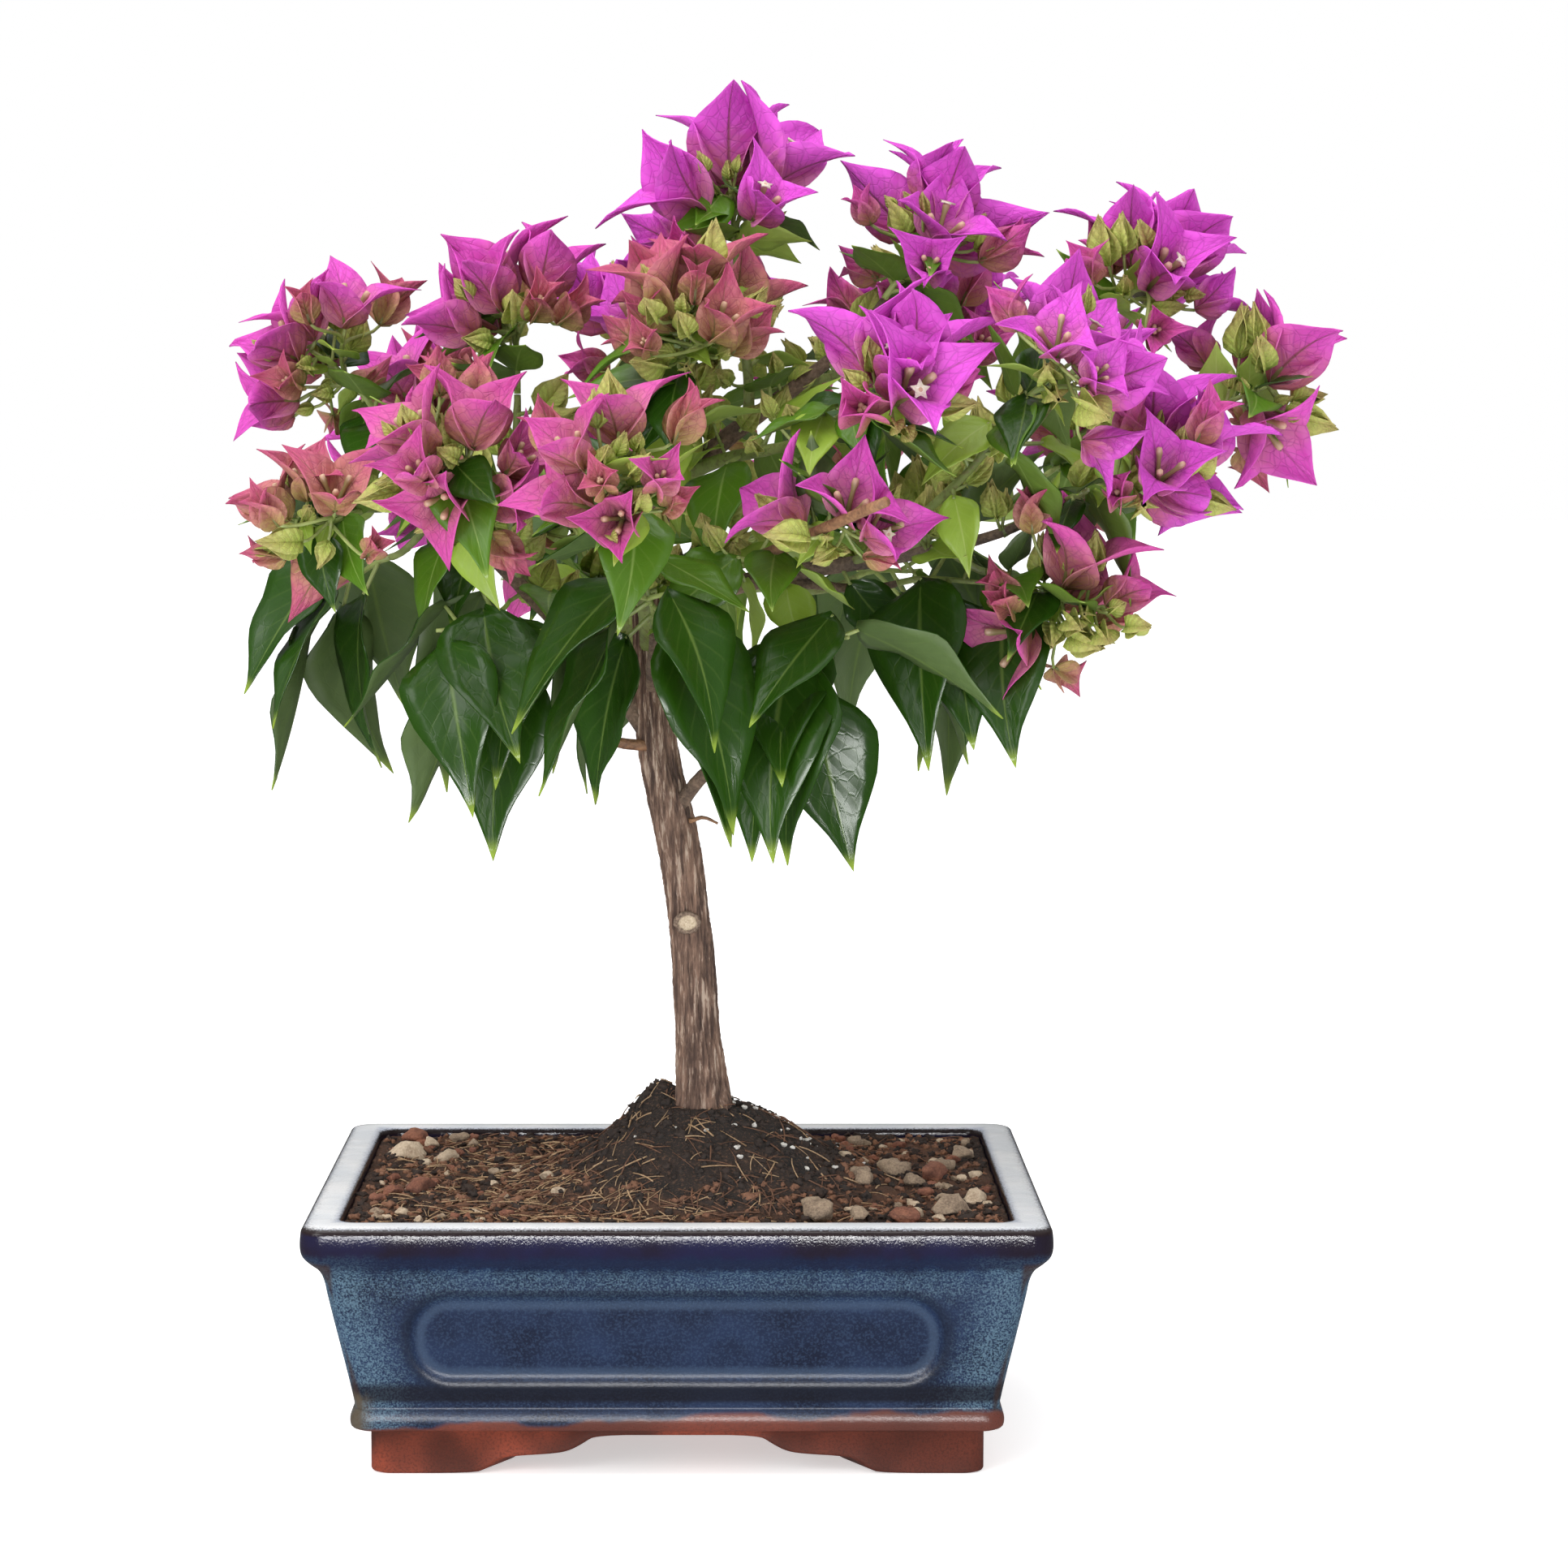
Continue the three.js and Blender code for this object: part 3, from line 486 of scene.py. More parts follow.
# Distance in from the corners of the plan, for paler ends and thin edges
wall_inset = step_between(height, WALL_FOOT[1], WALL_TOP[1], WALL_FOOT[0], WALL_TOP[0])
side_x = reckon("ABSOLUTE", axes["X"])
side_y = reckon("ABSOLUTE", axes["Y"])
edge_x = plus(minus(side_x, POT_HALF.x), wall_inset)
edge_y = plus(minus(side_y, POT_HALF.y), wall_inset)
near_corner = reckon("MINIMUM", edge_x, edge_y)
ends = step_between(near_corner, -26, -6)
thin_edge = step_between(plus(near_corner, fine), -1.9, -0.6)
print("nodes in the glaze:", len(tree.nodes))

# %% Mottled blue
deep = blend(cloud, (0.005, 0.01, 0.032), (0.012, 0.027, 0.076))
mottled = blend(step_between(speck, 0.35, 0.95, 0, 0.6), deep, (0.028, 0.054, 0.115))
high = times(step_between(height, 44, 54), step_between(height, 62, 58))
paler = reckon("MAXIMUM", times(high, 0.6), times(ends, 0.8))
specks = step_between(plus(fine, times(paler, 0.26)), 0.55, 0.82)
pale = blend(fine, (0.024, 0.066, 0.11), (0.14, 0.24, 0.32))
mottled = blend(times(specks, paler), mottled, pale)
print("nodes in the glaze:", len(tree.nodes))

# %% Dark bands and the panel's edge
# Bands under the lip and under the panel; along the panel's soft edge, paler thin glaze with painted light
# just inside it and painted shade just outside it
drips = plus(height, times(runs, 9.0))
under_lip = step_between(drips, 61.5, 65.5)
low_band = times(step_between(height, 20.2, 21.8), step_between(height, 27.5, 24.5))
mottled = blend(times(under_lip, 0.8), mottled, (0.01, 0.014, 0.036))
mottled = blend(times(low_band, 0.8), mottled, (0.006, 0.006, 0.012))
apart = add_node(tree, "ShaderNodeAttribute", attribute_name="panel_apart").outputs["Fac"]
panel_inner_pale_and_lit = times(step_between(apart, -4.6, -2.6), step_between(apart, -0.4, -2.0))
panel_outer_painted_shade = times(step_between(apart, -0.6, 0.8), step_between(apart, 4.5, 1.4))
mottled = blend(times(panel_inner_pale_and_lit, 0.5), mottled, (0.05, 0.085, 0.15))
mottled = blend(times(panel_outer_painted_shade, 0.55), mottled, (0.006, 0.01, 0.024))
print("nodes in the glaze:", len(tree.nodes))

# %% Lip, pale rim with painted reflection and shade, and thin brown edges
lip = step_between(plus(height, times(runs, 3.0)), 63.4, 66)
lip_colour = blend(cloud, (0.014, 0.01, 0.018), (0.014, 0.014, 0.045))
mottled = blend(lip, mottled, lip_colour)
brown_edge = step_between(height, 68.4, 69.6)
mottled = blend(brown_edge, mottled, (0.018, 0.011, 0.012))
rim = step_between(plus(height, times(fine, 0.9)), 70.7, 71.4)
from_side = [minus(half, side) for half, side in zip(POT_HALF, (side_x, side_y))]
rim_inset = reckon("MINIMUM", *from_side)
# Painted shade: the rim's white turns blue towards its inner and outer edges
rim_painted_shade = reckon("MAXIMUM", step_between(rim_inset, 7.4, 10.2), step_between(rim_inset, 2.6, 0.4))
# The rim's white is partly its pale glaze and partly a painted reflection of the bright surround
white = blend(cloud, (0.8, 0.83, 0.87), (0.94, 0.94, 0.95))
white = blend(times(rim_painted_shade, 0.5), white, (0.26, 0.32, 0.5))
mottled = blend(rim, mottled, white)
low_wall = step_between(height, 62, 60)
thin = times(times(thin_edge, low_wall), 0.7)
mottled = blend(thin, mottled, (0.035, 0.016, 0.012))
front_left = times(step_between(axes["X"], -80, -86), step_between(axes["Y"], -50, -58))
olive = times(front_left, step_between(drips, 30, 26))
mottled = blend(times(olive, 0.7), mottled, (0.11, 0.085, 0.05))
print("nodes in the glaze:", len(tree.nodes))

# %% Bare clay below a wavering line
line = reckon("MULTIPLY_ADD", axes["X"], 0.024, 16.4)
line = plus(line, times(minus(cloud, 0.5), 2.4))
glazed = step_between(minus(height, line), -0.7, 0.8)
patch = clouds(place, 0.03, 2.0)
clay = blend(step_between(patch, 0.38, 0.62), (0.1, 0.02, 0.01), (0.28, 0.05, 0.022))
clay = blend(step_between(speck, 0.4, 0.9, 0, 0.45), clay, (0.055, 0.016, 0.009))
clay = blend(step_between(axes["X"], -10, 70, 0, 0.6), clay, (0.055, 0.014, 0.009))
bead = step_between(height, 12.6, 13.6)
clay = blend(times(bead, 0.6), clay, (0.12, 0.045, 0.036))
wire(shader, {"Base Color": blend(glazed, clay, mottled)})
print("nodes in the glaze:", len(tree.nodes))

# %% Shine
# Shiny where it is glazed, and glossier at the lip than on the walls
shine = reckon("MAXIMUM", glazed, times(bead, 0.8))
satin = step_between(height, 57, 62, 0.3, 0.07)
satin = minus(satin, times(minus(1.0, glazed), 0.14))
rough = reckon("MULTIPLY_ADD", minus(satin, 0.55), shine, 0.55)
wire(shader, {"Roughness": reckon("MULTIPLY_ADD", fine, 0.1, rough), "Specular IOR Level": 0.28})
bump(shader, reckon("MULTIPLY_ADD", cloud, 2.0, fine), 0.2, 0.0003)
hand_over("glazed_pot", pot_mesh, glaze, ["pot"])

# %% [markdown]
# ## Soil
#
# The soil is a rough bed with a mound at the trunk's foot, and on it lie crumbs, root fibres, white
# perlite and pebbles. The bed is one grid that is moved up by a height function. The loose things are
# many and small, so one shape of each kind is modelled and copied into one joined mesh by arrays.

# %% Bed of soil
MOUND = ([0, 12, 21, 34, 52, 57], [91.0, 90.4, 85.5, 77.5, 69.6, 68.5])
MOUND_X = 7.2
SOIL_HALF = Vector((89.4, 64.4))
SOIL_EDGE = 62
HEAP = Vector((7, 0, 85))
HEAP_RADIUS = 40


def soil_height(x, y):
    rise = float(np.interp(math.hypot(x - MOUND_X, y), *MOUND))
    rise += 7.0 * math.exp(-((x + 7) ** 2 + (y - 9) ** 2) / 60)
    lumps = noise.fractal(Vector((x, y, 3)) / 13, 1.0, 2.0, 4)
    grit = noise.fractal(Vector((x, y, 9)) / 4.2, 0.9, 2.0, 4)
    return rise + 0.8 * lumps + 0.8 * grit


def on_heap(x, y):
    return math.hypot(x - HEAP.x, y) < HEAP_RADIUS


bm = bmesh.new()
bmesh.ops.create_grid(bm, x_segments=210, y_segments=150, size=1)
bmesh.ops.scale(bm, vec=(*SOIL_HALF, 1), verts=bm.verts)
for vert in bm.verts:
    vert.co.z = soil_height(vert.co.x, vert.co.y)
edge = [e for e in bm.edges if e.is_boundary]
verts, loop = ring_from(bm, edge)
for vert in verts:
    vert.co.z = SOIL_EDGE
bmesh.ops.contextual_create(bm, geom=loop)
bmesh.ops.recalc_face_normals(bm, faces=bm.faces)
soil_mesh = mesh_from(bm, "soil_bed")
print("soil bed from", round(soil_height(-80, -50), 1), "to", round(soil_height(-5, 8), 1), "mm high")

# %% Earth
earth, tree, shader = new_finish("earth")
place = millimetres(tree)
cloud, speck = natural_grain(place, 0.05, 1.1)
from_heap = add_node(tree, "ShaderNodeVectorMath", {0: place, 1: HEAP}, operation="DISTANCE")
# The earth is darker on the heap at the trunk's foot and paler away from it
away_from_heap = step_between(from_heap.outputs["Value"], 22, 60)
colour = blend(cloud, (0.012, 0.007, 0.005), (0.04, 0.02, 0.011))
colour = blend(times(away_from_heap, cloud), colour, (0.15, 0.064, 0.032))
colour = blend(step_between(speck, 0.5, 1, 0, 0.6), colour, (0.16, 0.078, 0.042))
wire(shader, {"Base Color": colour, "Roughness": 0.95})
bump(shader, speck, 0.9, 0.0012)
hand_over("soil_bed", soil_mesh, earth, ["soil"])


# %% Templates for small things, and joined meshes
class Template:
    """A small shape modelled once: its points, its triangles and a map for each triangle's corners."""

    def __init__(self, bm, map_corner=None):
        bmesh.ops.triangulate(bm, faces=bm.faces)
        bm.verts.index_update()
        self.points = np.array([v.co for v in bm.verts])
        self.faces = np.array([[v.index for v in f.verts] for f in bm.faces])
        self.corners = None
        if map_corner:
            self.corners = np.array([map_corner(face, loop) for face in bm.faces for loop in face.loops])
        bm.free()


class Gathering:
    """Collects copies of templates and tubes, and makes them one mesh."""

    def __init__(self):
        self.points, self.faces, self.corners, self.count = [], [], [], 0

    def add(self, points, faces, corners=None):
        self.points.append(points)
        self.faces.append(faces + self.count)
        if corners is not None:
            self.corners.append(corners)
        self.count += len(points)

    def copy(self, template, basis, root):
        self.add(template.points @ np.array(basis) + np.array(root), template.faces, template.corners)

    def mesh(self, name):
        points, faces = np.concatenate(self.points), np.concatenate(self.faces)
        mesh = bpy.data.meshes.new(name)
        mesh.vertices.add(len(points))
        mesh.vertices.foreach_set("co", points.astype(np.float32).ravel())
        mesh.loops.add(faces.size)
        mesh.loops.foreach_set("vertex_index", faces.astype(np.int32).ravel())
        mesh.polygons.add(len(faces))
        mesh.polygons.foreach_set("loop_start", np.arange(0, faces.size, 3, dtype=np.int32))
        if self.corners:
            corners = np.concatenate(self.corners).astype(np.float32)
            mesh.uv_layers.new(name="OFBake").data.foreach_set("uv", corners.ravel())
        mesh.update(calc_edges=True)
        mesh.validate()
        return mesh


print("copies of templates can be gathered")


# %% Shapes of crumbs and pebbles
def pebble_template(seed, rounds, roughness, flat, cuts=0):
    bm = bmesh.new()
    bmesh.ops.create_icosphere(bm, subdivisions=rounds, radius=1)
    chance = np.random.default_rng(seed)
    for _ in range(cuts):
        out, depth = Vector(chance.normal(size=3)).normalized(), chance.uniform(0.55, 0.85)
        for vert in bm.verts:
            vert.co -= out * max(vert.co.dot(out) - depth, 0)
    for vert in bm.verts:
        vert.co *= 1 + roughness * noise.fractal(vert.co * 1.1 + Vector((seed * 7.3, 0, 0)), 0.9, 2.0, 3)
    bmesh.ops.scale(bm, vec=(1, 0.82, flat), verts=bm.verts)
    return Template(bm)


FULL_TURN = 6.283


def any_turn(chance, size):
    spin = Matrix.Rotation(chance.uniform(0, FULL_TURN), 3, "Z")
    tip = Matrix.Rotation(chance.uniform(-0.5, 0.5), 3, "X")
    return (spin @ tip * size).transposed()


crumb_shapes = [pebble_template(seed, rounds=2, roughness=1.0, flat=0.7) for seed in range(4)]
pebble_shapes = [
    pebble_template(seed, rounds=3, roughness=0.3, flat=0.68, cuts=11) for seed in range(9, 15)
]
print("templates:", len(crumb_shapes), "crumbs and", len(pebble_shapes), "pebbles")


# %% Plain finishes
def mineral(name, dark, light, roughness=0.9, cloud_scale=0.12, grain_scale=1.2, relief=0.0004):
    finish, tree, shader = new_finish(name)
    cloud, speck = natural_grain(millimetres(tree), cloud_scale, grain_scale)
    share = reckon("MULTIPLY_ADD", speck, 0.5, times(cloud, 0.5))
    wire(shader, {"Base Color": blend(share, dark, light), "Roughness": roughness})
    bump(shader, speck, 0.5, relief)
    return finish


def flecked(name, scales, dark, light, fleck, fleck_range, roughness, relief):
    finish, tree, shader = new_finish(name)
    cloud, speck = natural_grain(millimetres(tree), *scales)
    colour = blend(step_between(speck, *fleck_range), blend(cloud, dark, light), fleck)
    wire(shader, {"Base Color": colour, "Roughness": roughness})
    bump(shader, speck, 0.3, relief)
    return finish


perlite = mineral("perlite", (0.6, 0.56, 0.5), (0.88, 0.86, 0.82))
print("first plain finish:", perlite.name)

# %% Crumbs of earth and bark
chance = np.random.default_rng(11)
for name, dark, light, count, sizes in (
    ("crumbs_dark", (0.014, 0.008, 0.006), (0.05, 0.026, 0.016), 1700, (0.5, 1.5)),
    ("crumbs_brown", (0.12, 0.048, 0.025), (0.32, 0.15, 0.08), 1500, (0.4, 1.4)),
):
    gathered = Gathering()
    for _ in range(count):
        x, y = chance.uniform(-88, 88), chance.uniform(-63, 63)
        if name == "crumbs_brown" and on_heap(x, y):
            continue
        size = chance.uniform(*sizes) * (1.5 if chance.random() < 0.08 else 1)
        root = (x, y, soil_height(x, y) + 0.2 * size)
        gathered.copy(crumb_shapes[chance.integers(4)], any_turn(chance, size), root)
    hand_over(name, gathered.mesh(name), mineral(name, dark, light))

# %% [markdown]
# Pebbles lie mostly at the two ends of the pot: pale ones at the back left, large beige ones at the
# front right and one of brick red. The large ones are set where they show, the rest are strewn.

# %% Pebbles
# Place along and across the pot, and half length
PEBBLES = {
    "pebbles_pale": [
        (-80, 33, 6), (-68, 27, 4), (-37, -12, 2.4), (-33, -29, 2.2), (82, -27, 5), (-74, 45, 3.4),
        (83, 34, 3.2),
    ],
    "pebbles_beige": [
        (38, -51, 6.6), (49, -53, 4.4), (74, -46, 6.4), (61, 6, 5), (51, -16, 4.4), (82, 30, 4.6),
        (66, -8, 3.8), (52, 50, 3.4), (-66, 54, 3.2), (76, 16, 3.4),
    ],
    "pebbles_rust": [
        (61, -55, 5.2), (-80, -18, 4), (-72, -15, 4.6), (72, 1, 4.8), (-79, 55, 4.6), (-83, -30, 2.8),
        (-60, -52, 2.2),
    ],
}
PEBBLE_TINTS = {
    "pebbles_pale": ((0.36, 0.25, 0.16), (0.72, 0.58, 0.42)),
    "pebbles_beige": ((0.17, 0.115, 0.075), (0.46, 0.34, 0.23)),
    "pebbles_rust": ((0.13, 0.035, 0.018), (0.33, 0.13, 0.07)),
}
for name, places in PEBBLES.items():
    gathered = Gathering()
    strewn = [
        (side * chance.uniform(46, 86), chance.uniform(-60, 60), chance.uniform(1.1, 2.6))
        for side in (-1, 1) for _ in range(14)
    ]
    for x, y, size in [*places, *strewn]:
        root = (x, y, soil_height(x, y) + 0.25 * size)
        gathered.copy(pebble_shapes[chance.integers(6)], any_turn(chance, size), root)
    stone = mineral(name, *PEBBLE_TINTS[name], roughness=0.85, cloud_scale=0.2, grain_scale=1.6)
    hand_over(name, gathered.mesh(name), stone)

# %% Perlite
gathered = Gathering()
for _ in range(90):
    x, y = chance.normal(26, 15), chance.normal(14, 22)
    if abs(x) < 86 and abs(y) < 60:
        size = chance.uniform(0.4, 1.15)
        root = (x, y, soil_height(x, y) + 0.3)
        gathered.copy(pebble_shapes[chance.integers(6)], any_turn(chance, size), root)
hand_over("perlite", gathered.mesh("perlite"), perlite)

# %% [markdown]
# ## Limbs
#
# The trunk leans and bends, and each limb leaves it, or another limb, on a curve that ends at its mass
# of foliage. Those curves are worked out from a few sizes for each spray, by the same rule as the
# solids. A limb's surface is a tube of rings along its curve.

# %% Directions and chance
UP = Vector((0, 0, 1))
FORWARD = Vector((0, -1, 0))
GOLDEN_TURN = math.radians(137.5)
THIRD_TURN = 2 * math.pi / 3
GAP = 0.3


def stream(seed):
    """Even random numbers from 0 to 1, the same on every run."""
    state = seed * 7919 + 104729

    def draw():
        nonlocal state
        state = state * 48271 % 2147483647
        return state / 2147483647

    return draw


print("first draw of stream 1:", round(stream(1)(), 3))


# %% Curves
class Reach:
    """A curve that leaves one point along one way and arrives at another point along a second."""

    def __init__(self, start, leaving, end, arriving):
        third = (end - start).length / 3
        self.knots = (start, start + leaving * third, end - arriving * third, end)

    def point(self, t):
        a, b, c, d = self.knots
        s = 1 - t
        return a * s**3 + b * (3 * s * s * t) + c * (3 * s * t * t) + d * t**3

    def way(self, t):
        a, b, c, d = self.knots
        s = 1 - t
        return ((b - a) * (s * s) + (c - b) * (2 * s * t) + (d - c) * (t * t)).normalized()


class Bend:
    """A smooth curve through points at even steps."""

    def __init__(self, points):
        self.points = [points[0] * 2 - points[1], *points, points[-1] * 2 - points[-2]]

    def point(self, t):
        steps = len(self.points) - 3
        i = min(int(t * steps), steps - 1)
        s = t * steps - i
        a, b, c, d = self.points[i:i + 4]
        square, cube = a * 2 - b * 5 + c * 4 - d, b * 3 - a - c * 3 + d
        return (b * 2 + (c - a) * s + square * s**2 + cube * s**3) / 2

    def way(self, t):
        return (self.point(min(t + 1e-4, 1)) - self.point(max(t - 1e-4, 0))).normalized()


sample = Reach(Vector(), UP, UP, UP)
print("middle of a straight reach:", tuple(sample.point(0.5)))


# %% Ways that lean
def square_to(axis):
    """An axis and two ways square to it."""
    side = axis.cross(UP if abs(axis.z) < 0.9 else FORWARD).normalized()
    return axis, side, side.cross(axis)


def leaning(axes, tilt, turn):
    """The way that leans off the first axis by tilt, towards turn round it."""
    axis, side, over = axes
    beside, above = math.sin(tilt) * math.cos(turn), math.sin(tilt) * math.sin(turn)
    return axis * math.cos(tilt) + side * beside + over * above


lean = leaning(square_to(UP), 0.5, 0)
print("half a radian off upright:", tuple(round(c, 2) for c in lean))


# %% Tubes
def tube(curve, radius_at, sides, steps, relief=None):
    """Points and triangles of a closed tube along a curve; relief may move a point in or out."""
    rings, across = [], None
    for i in range(steps + 1):
        along = curve.way(i / steps)
        if across is None:
            across = along.cross(UP if abs(along.z) < 0.9 else Vector((1, 0, 0)))
        across = (across - along * across.dot(along)).normalized()
        over = across.cross(along)
        middle, radius = curve.point(i / steps), radius_at(i / steps)
        for k in range(sides):
            turn = 2 * math.pi * k / sides
            out = across * math.sin(turn) + over * math.cos(turn)
            place = middle + out * radius
            rings.append(place + out * relief(place, i / steps) if relief else place)
    k = np.arange(sides)
    low = np.concatenate([k + sides * i for i in range(steps)])
    beside = np.concatenate([(k + 1) % sides + sides * i for i in range(steps)])
    walls = [np.stack([low, beside, beside + sides], 1), np.stack([low, beside + sides, low + sides], 1)]
    fan, last = np.arange(1, sides - 1), sides * steps
    caps = [np.stack([0 * fan, fan + 1, fan], 1), np.stack([0 * fan + last, fan + last, fan + 1 + last], 1)]
    return np.array(rings), np.concatenate(walls + caps)


def taper(foot, tip):
    return lambda t: foot + (tip - foot) * t


print("triangles in a stalk's tube:", len(tube(sample, taper(1, 1), sides=6, steps=6)[1]))

# %% Fibres on the soil
# Dark and light colour, middle along the pot, count, and shortest and longest
FIBRES = {
    "straw_fibres": ((0.3, 0.17, 0.08), (0.66, 0.45, 0.26), -34, 850, (3, 10)),
    "root_fibres": ((0.1, 0.04, 0.02), (0.26, 0.12, 0.06), -10, 900, (3, 12)),
}
for name, (dark, light, middle, count, lengths) in FIBRES.items():
    gathered = Gathering()
    for _ in range(count):
        x, y = chance.normal(middle, 42), chance.uniform(-60, 60)
        turn, length = chance.uniform(0, FULL_TURN), chance.uniform(*lengths)
        end_x, end_y = x + length * math.cos(turn), y + length * math.sin(turn)
        buried = on_heap(x, y) and chance.random() < 0.6
        if buried or max(abs(x), abs(end_x)) > 86 or max(abs(y), abs(end_y)) > 61:
            continue
        start = Vector((x, y, soil_height(x, y) + 0.2))
        end = Vector((end_x, end_y, soil_height(end_x, end_y) + chance.uniform(0.1, 1.2)))
        way = (end - start).normalized()
        side = way.cross(UP) * chance.uniform(-0.4, 0.4) + UP * chance.uniform(0.05, 0.25)
        curve = Reach(start, (way + side).normalized(), end, (way - side).normalized())
        thick = chance.uniform(0.12, 0.3)
        gathered.add(*tube(curve, taper(thick, 0.6 * thick), sides=4, steps=4))
    hand_over(name, gathered.mesh(name), mineral(name, dark, light, roughness=0.8))

# %% The trunk's curve
TRUNK_CUT = 90.8
TRUNK_FOOT = TRUNK_CUT - 4
TRUNK_TOP = 242
TRUNK_BEND = [7.2, 5.5, 3.5, 0.2, -5.4, -7.9, -8.8]
TRUNK_RADIUS = [8.4, 6.5, 6.3, 6.2, 6.0, 5.1, 4.3]
trunk_heights = np.linspace(TRUNK_FOOT, TRUNK_TOP, len(TRUNK_BEND))
trunk_curve = Bend([Vector((x, 0, z)) for x, z in zip(TRUNK_BEND, trunk_heights)])


def trunk_radius(t):
    return float(np.interp(t, np.linspace(0, 1, len(TRUNK_RADIUS)), TRUNK_RADIUS))


print("trunk from", TRUNK_FOOT, "to", TRUNK_TOP, "mm high")

# %% The sprays
# Name, what carries it and where, middle of its foliage x, y, z, reach, flowers, buds, leaves, ripeness,
# turn of the first twig in degrees, and the tint of its bracts
SPRAYS = [
    ("leader", "trunk", 1.0, 69, 4, 330, 36, 5, 2, 3, 0.8, 20, "violet"),
    ("left", "trunk", 0.68, -96, 2, 299, 37, 5, 2, 3, 0.8, 90, "magenta"),
    ("right", "trunk", 0.9, 124, -30, 267, 40, 5, 1, 3, 0.9, 150, "violet"),
    ("spire", "leader", 0.52, 15, -2, 340, 41, 5, 2, 2, 1.1, 120, "violet"),
    ("right_top", "right", 0.62, 128, 6, 320, 37, 5, 1, 3, 0.9, 30, "violet"),
    ("far_right", "right", 0.84, 157, -4, 290, 35, 3, 4, 2, 0.7, 10, "magenta"),
    ("right_front", "right", 0.5, 99, -64, 295, 36, 4, 1, 2, 1.0, 200, "violet"),
    ("right_low", "right", 0.7, 100, -30, 234, 38, 4, 4, 4, 0.6, 260, "rose"),
    ("centre_right", "leader", 0.3, 54, -74, 289, 37, 5, 2, 3, 0.9, 120, "violet"),
    ("centre", "trunk", 0.96, 42, -70, 256, 34, 3, 4, 4, 0.4, 60, "magenta"),
    ("centre_left", "leader", 0.2, 4, -46, 302, 37, 5, 3, 3, 0.5, 310, "salmon"),
    ("mid_left", "trunk", 0.85, -11, -92, 266, 37, 4, 3, 4, 0.7, 180, "rose"),
    ("left_upper", "left", 0.5, -44, -10, 309, 38, 5, 2, 3, 0.7, 45, "magenta"),
    ("left_front", "left", 0.62, -55, -72, 270, 37, 4, 4, 3, 0.6, 230, "rose"),
    ("far_left", "left", 0.8, -93, -34, 254, 39, 3, 6, 3, 0.4, 0, "salmon"),
    ("back_left", "left", 0.42, -70, 62, 280, 42, 5, 2, 4, 0.8, 100, "magenta"),
    ("back_upper", "leader", 0.4, -6, 58, 308, 42, 5, 2, 4, 0.9, 15, "violet"),
    ("back_right", "right", 0.36, 122, 64, 272, 42, 4, 2, 4, 0.7, 285, "magenta"),
    ("back_crest", "leader", 0.66, 74, 64, 308, 42, 5, 2, 3, 0.9, 140, "violet"),
    ("back_middle", "trunk", 0.93, 42, 94, 266, 42, 4, 3, 4, 0.6, 330, "rose"),
    ("back_low", "trunk", 0.8, -34, 94, 252, 42, 4, 3, 4, 0.6, 220, "rose"),
    ("skirt_left", "left", 0.3, -56, -28, 202, 50, 0, 0, 7, 1, 30, None),
    ("skirt_far_left", "left", 0.72, -96, 30, 212, 44, 0, 0, 6, 1, 170, None),
    ("skirt_front", "trunk", 0.77, -6, -66, 214, 46, 0, 0, 7, 1, 80, None),
    ("skirt_right_front", "trunk", 0.55, 42, -46, 202, 50, 0, 0, 7, 1, 240, None),
    ("skirt_right", "right", 0.28, 82, -16, 216, 44, 0, 0, 6, 1, 300, None),
    ("skirt_back", "trunk", 0.72, -14, 56, 210, 48, 0, 0, 7, 1, 20, None),
    ("skirt_back_right", "right", 0.2, 66, 58, 214, 48, 0, 0, 7, 1, 110, None),
]


class Spray:
    def __init__(self, index, row):
        self.index = index
        (self.name, self.parent, self.at, x, y, z, self.reach, self.flowers, self.buds, self.leaves,
         self.ripe, turn, self.tint) = row
        self.turn = math.radians(turn)
        self.middle = Vector((x, y, z))
        self.hangs = self.flowers == 0
        self.crest = self.middle + UP * (0.5 * self.reach if self.hangs else 0)


sprays = [Spray(index, row) for index, row in enumerate(SPRAYS)]
print("sprays:", len(sprays))

# %% Limbs by the rule
limbs = {"trunk": (trunk_curve, trunk_radius)}
for spray in sprays:
    carrier, carrier_radius = limbs[spray.parent]
    leads = spray.at == 1
    carrier_way = carrier.way(spray.at)
    start = carrier.point(spray.at) + carrier_way * (GAP if leads else 0)
    way = (spray.crest - start).normalized()
    tip = spray.crest - way * (0.5 * spray.reach)
    leaving = carrier_way if leads else (way + carrier_way * 0.35).normalized()
    curve = Reach(start, leaving, tip, (way + UP * 0.35).normalized())
    grown = 0.9 + 0.016 * (spray.crest - start).length
    foot = max(min(0.66 * carrier_radius(spray.at), grown), 1.2)
    limbs[spray.name] = (curve, taper(0.97 * carrier_radius(1) if leads else foot, 1.0))
print("longest limb:", round(max((c.point(1) - c.point(0)).length for c, _ in limbs.values()), 1), "mm")

# %% [markdown]
# ### Bark
#
# The trunk's bark is grey-brown and fibrous: long pale ridges with dark furrows between, twisting
# slightly, and a low flare at the foot. The ridges are deep enough to break the outline, so they are in
# the mesh: noise that is stretched along the trunk moves each point in or out. The colour in the
# furrows uses the same kind of stretched noise.


# %% Relief of the trunk
FLARE_FOOT, FLARE_HEIGHT = 88, 5


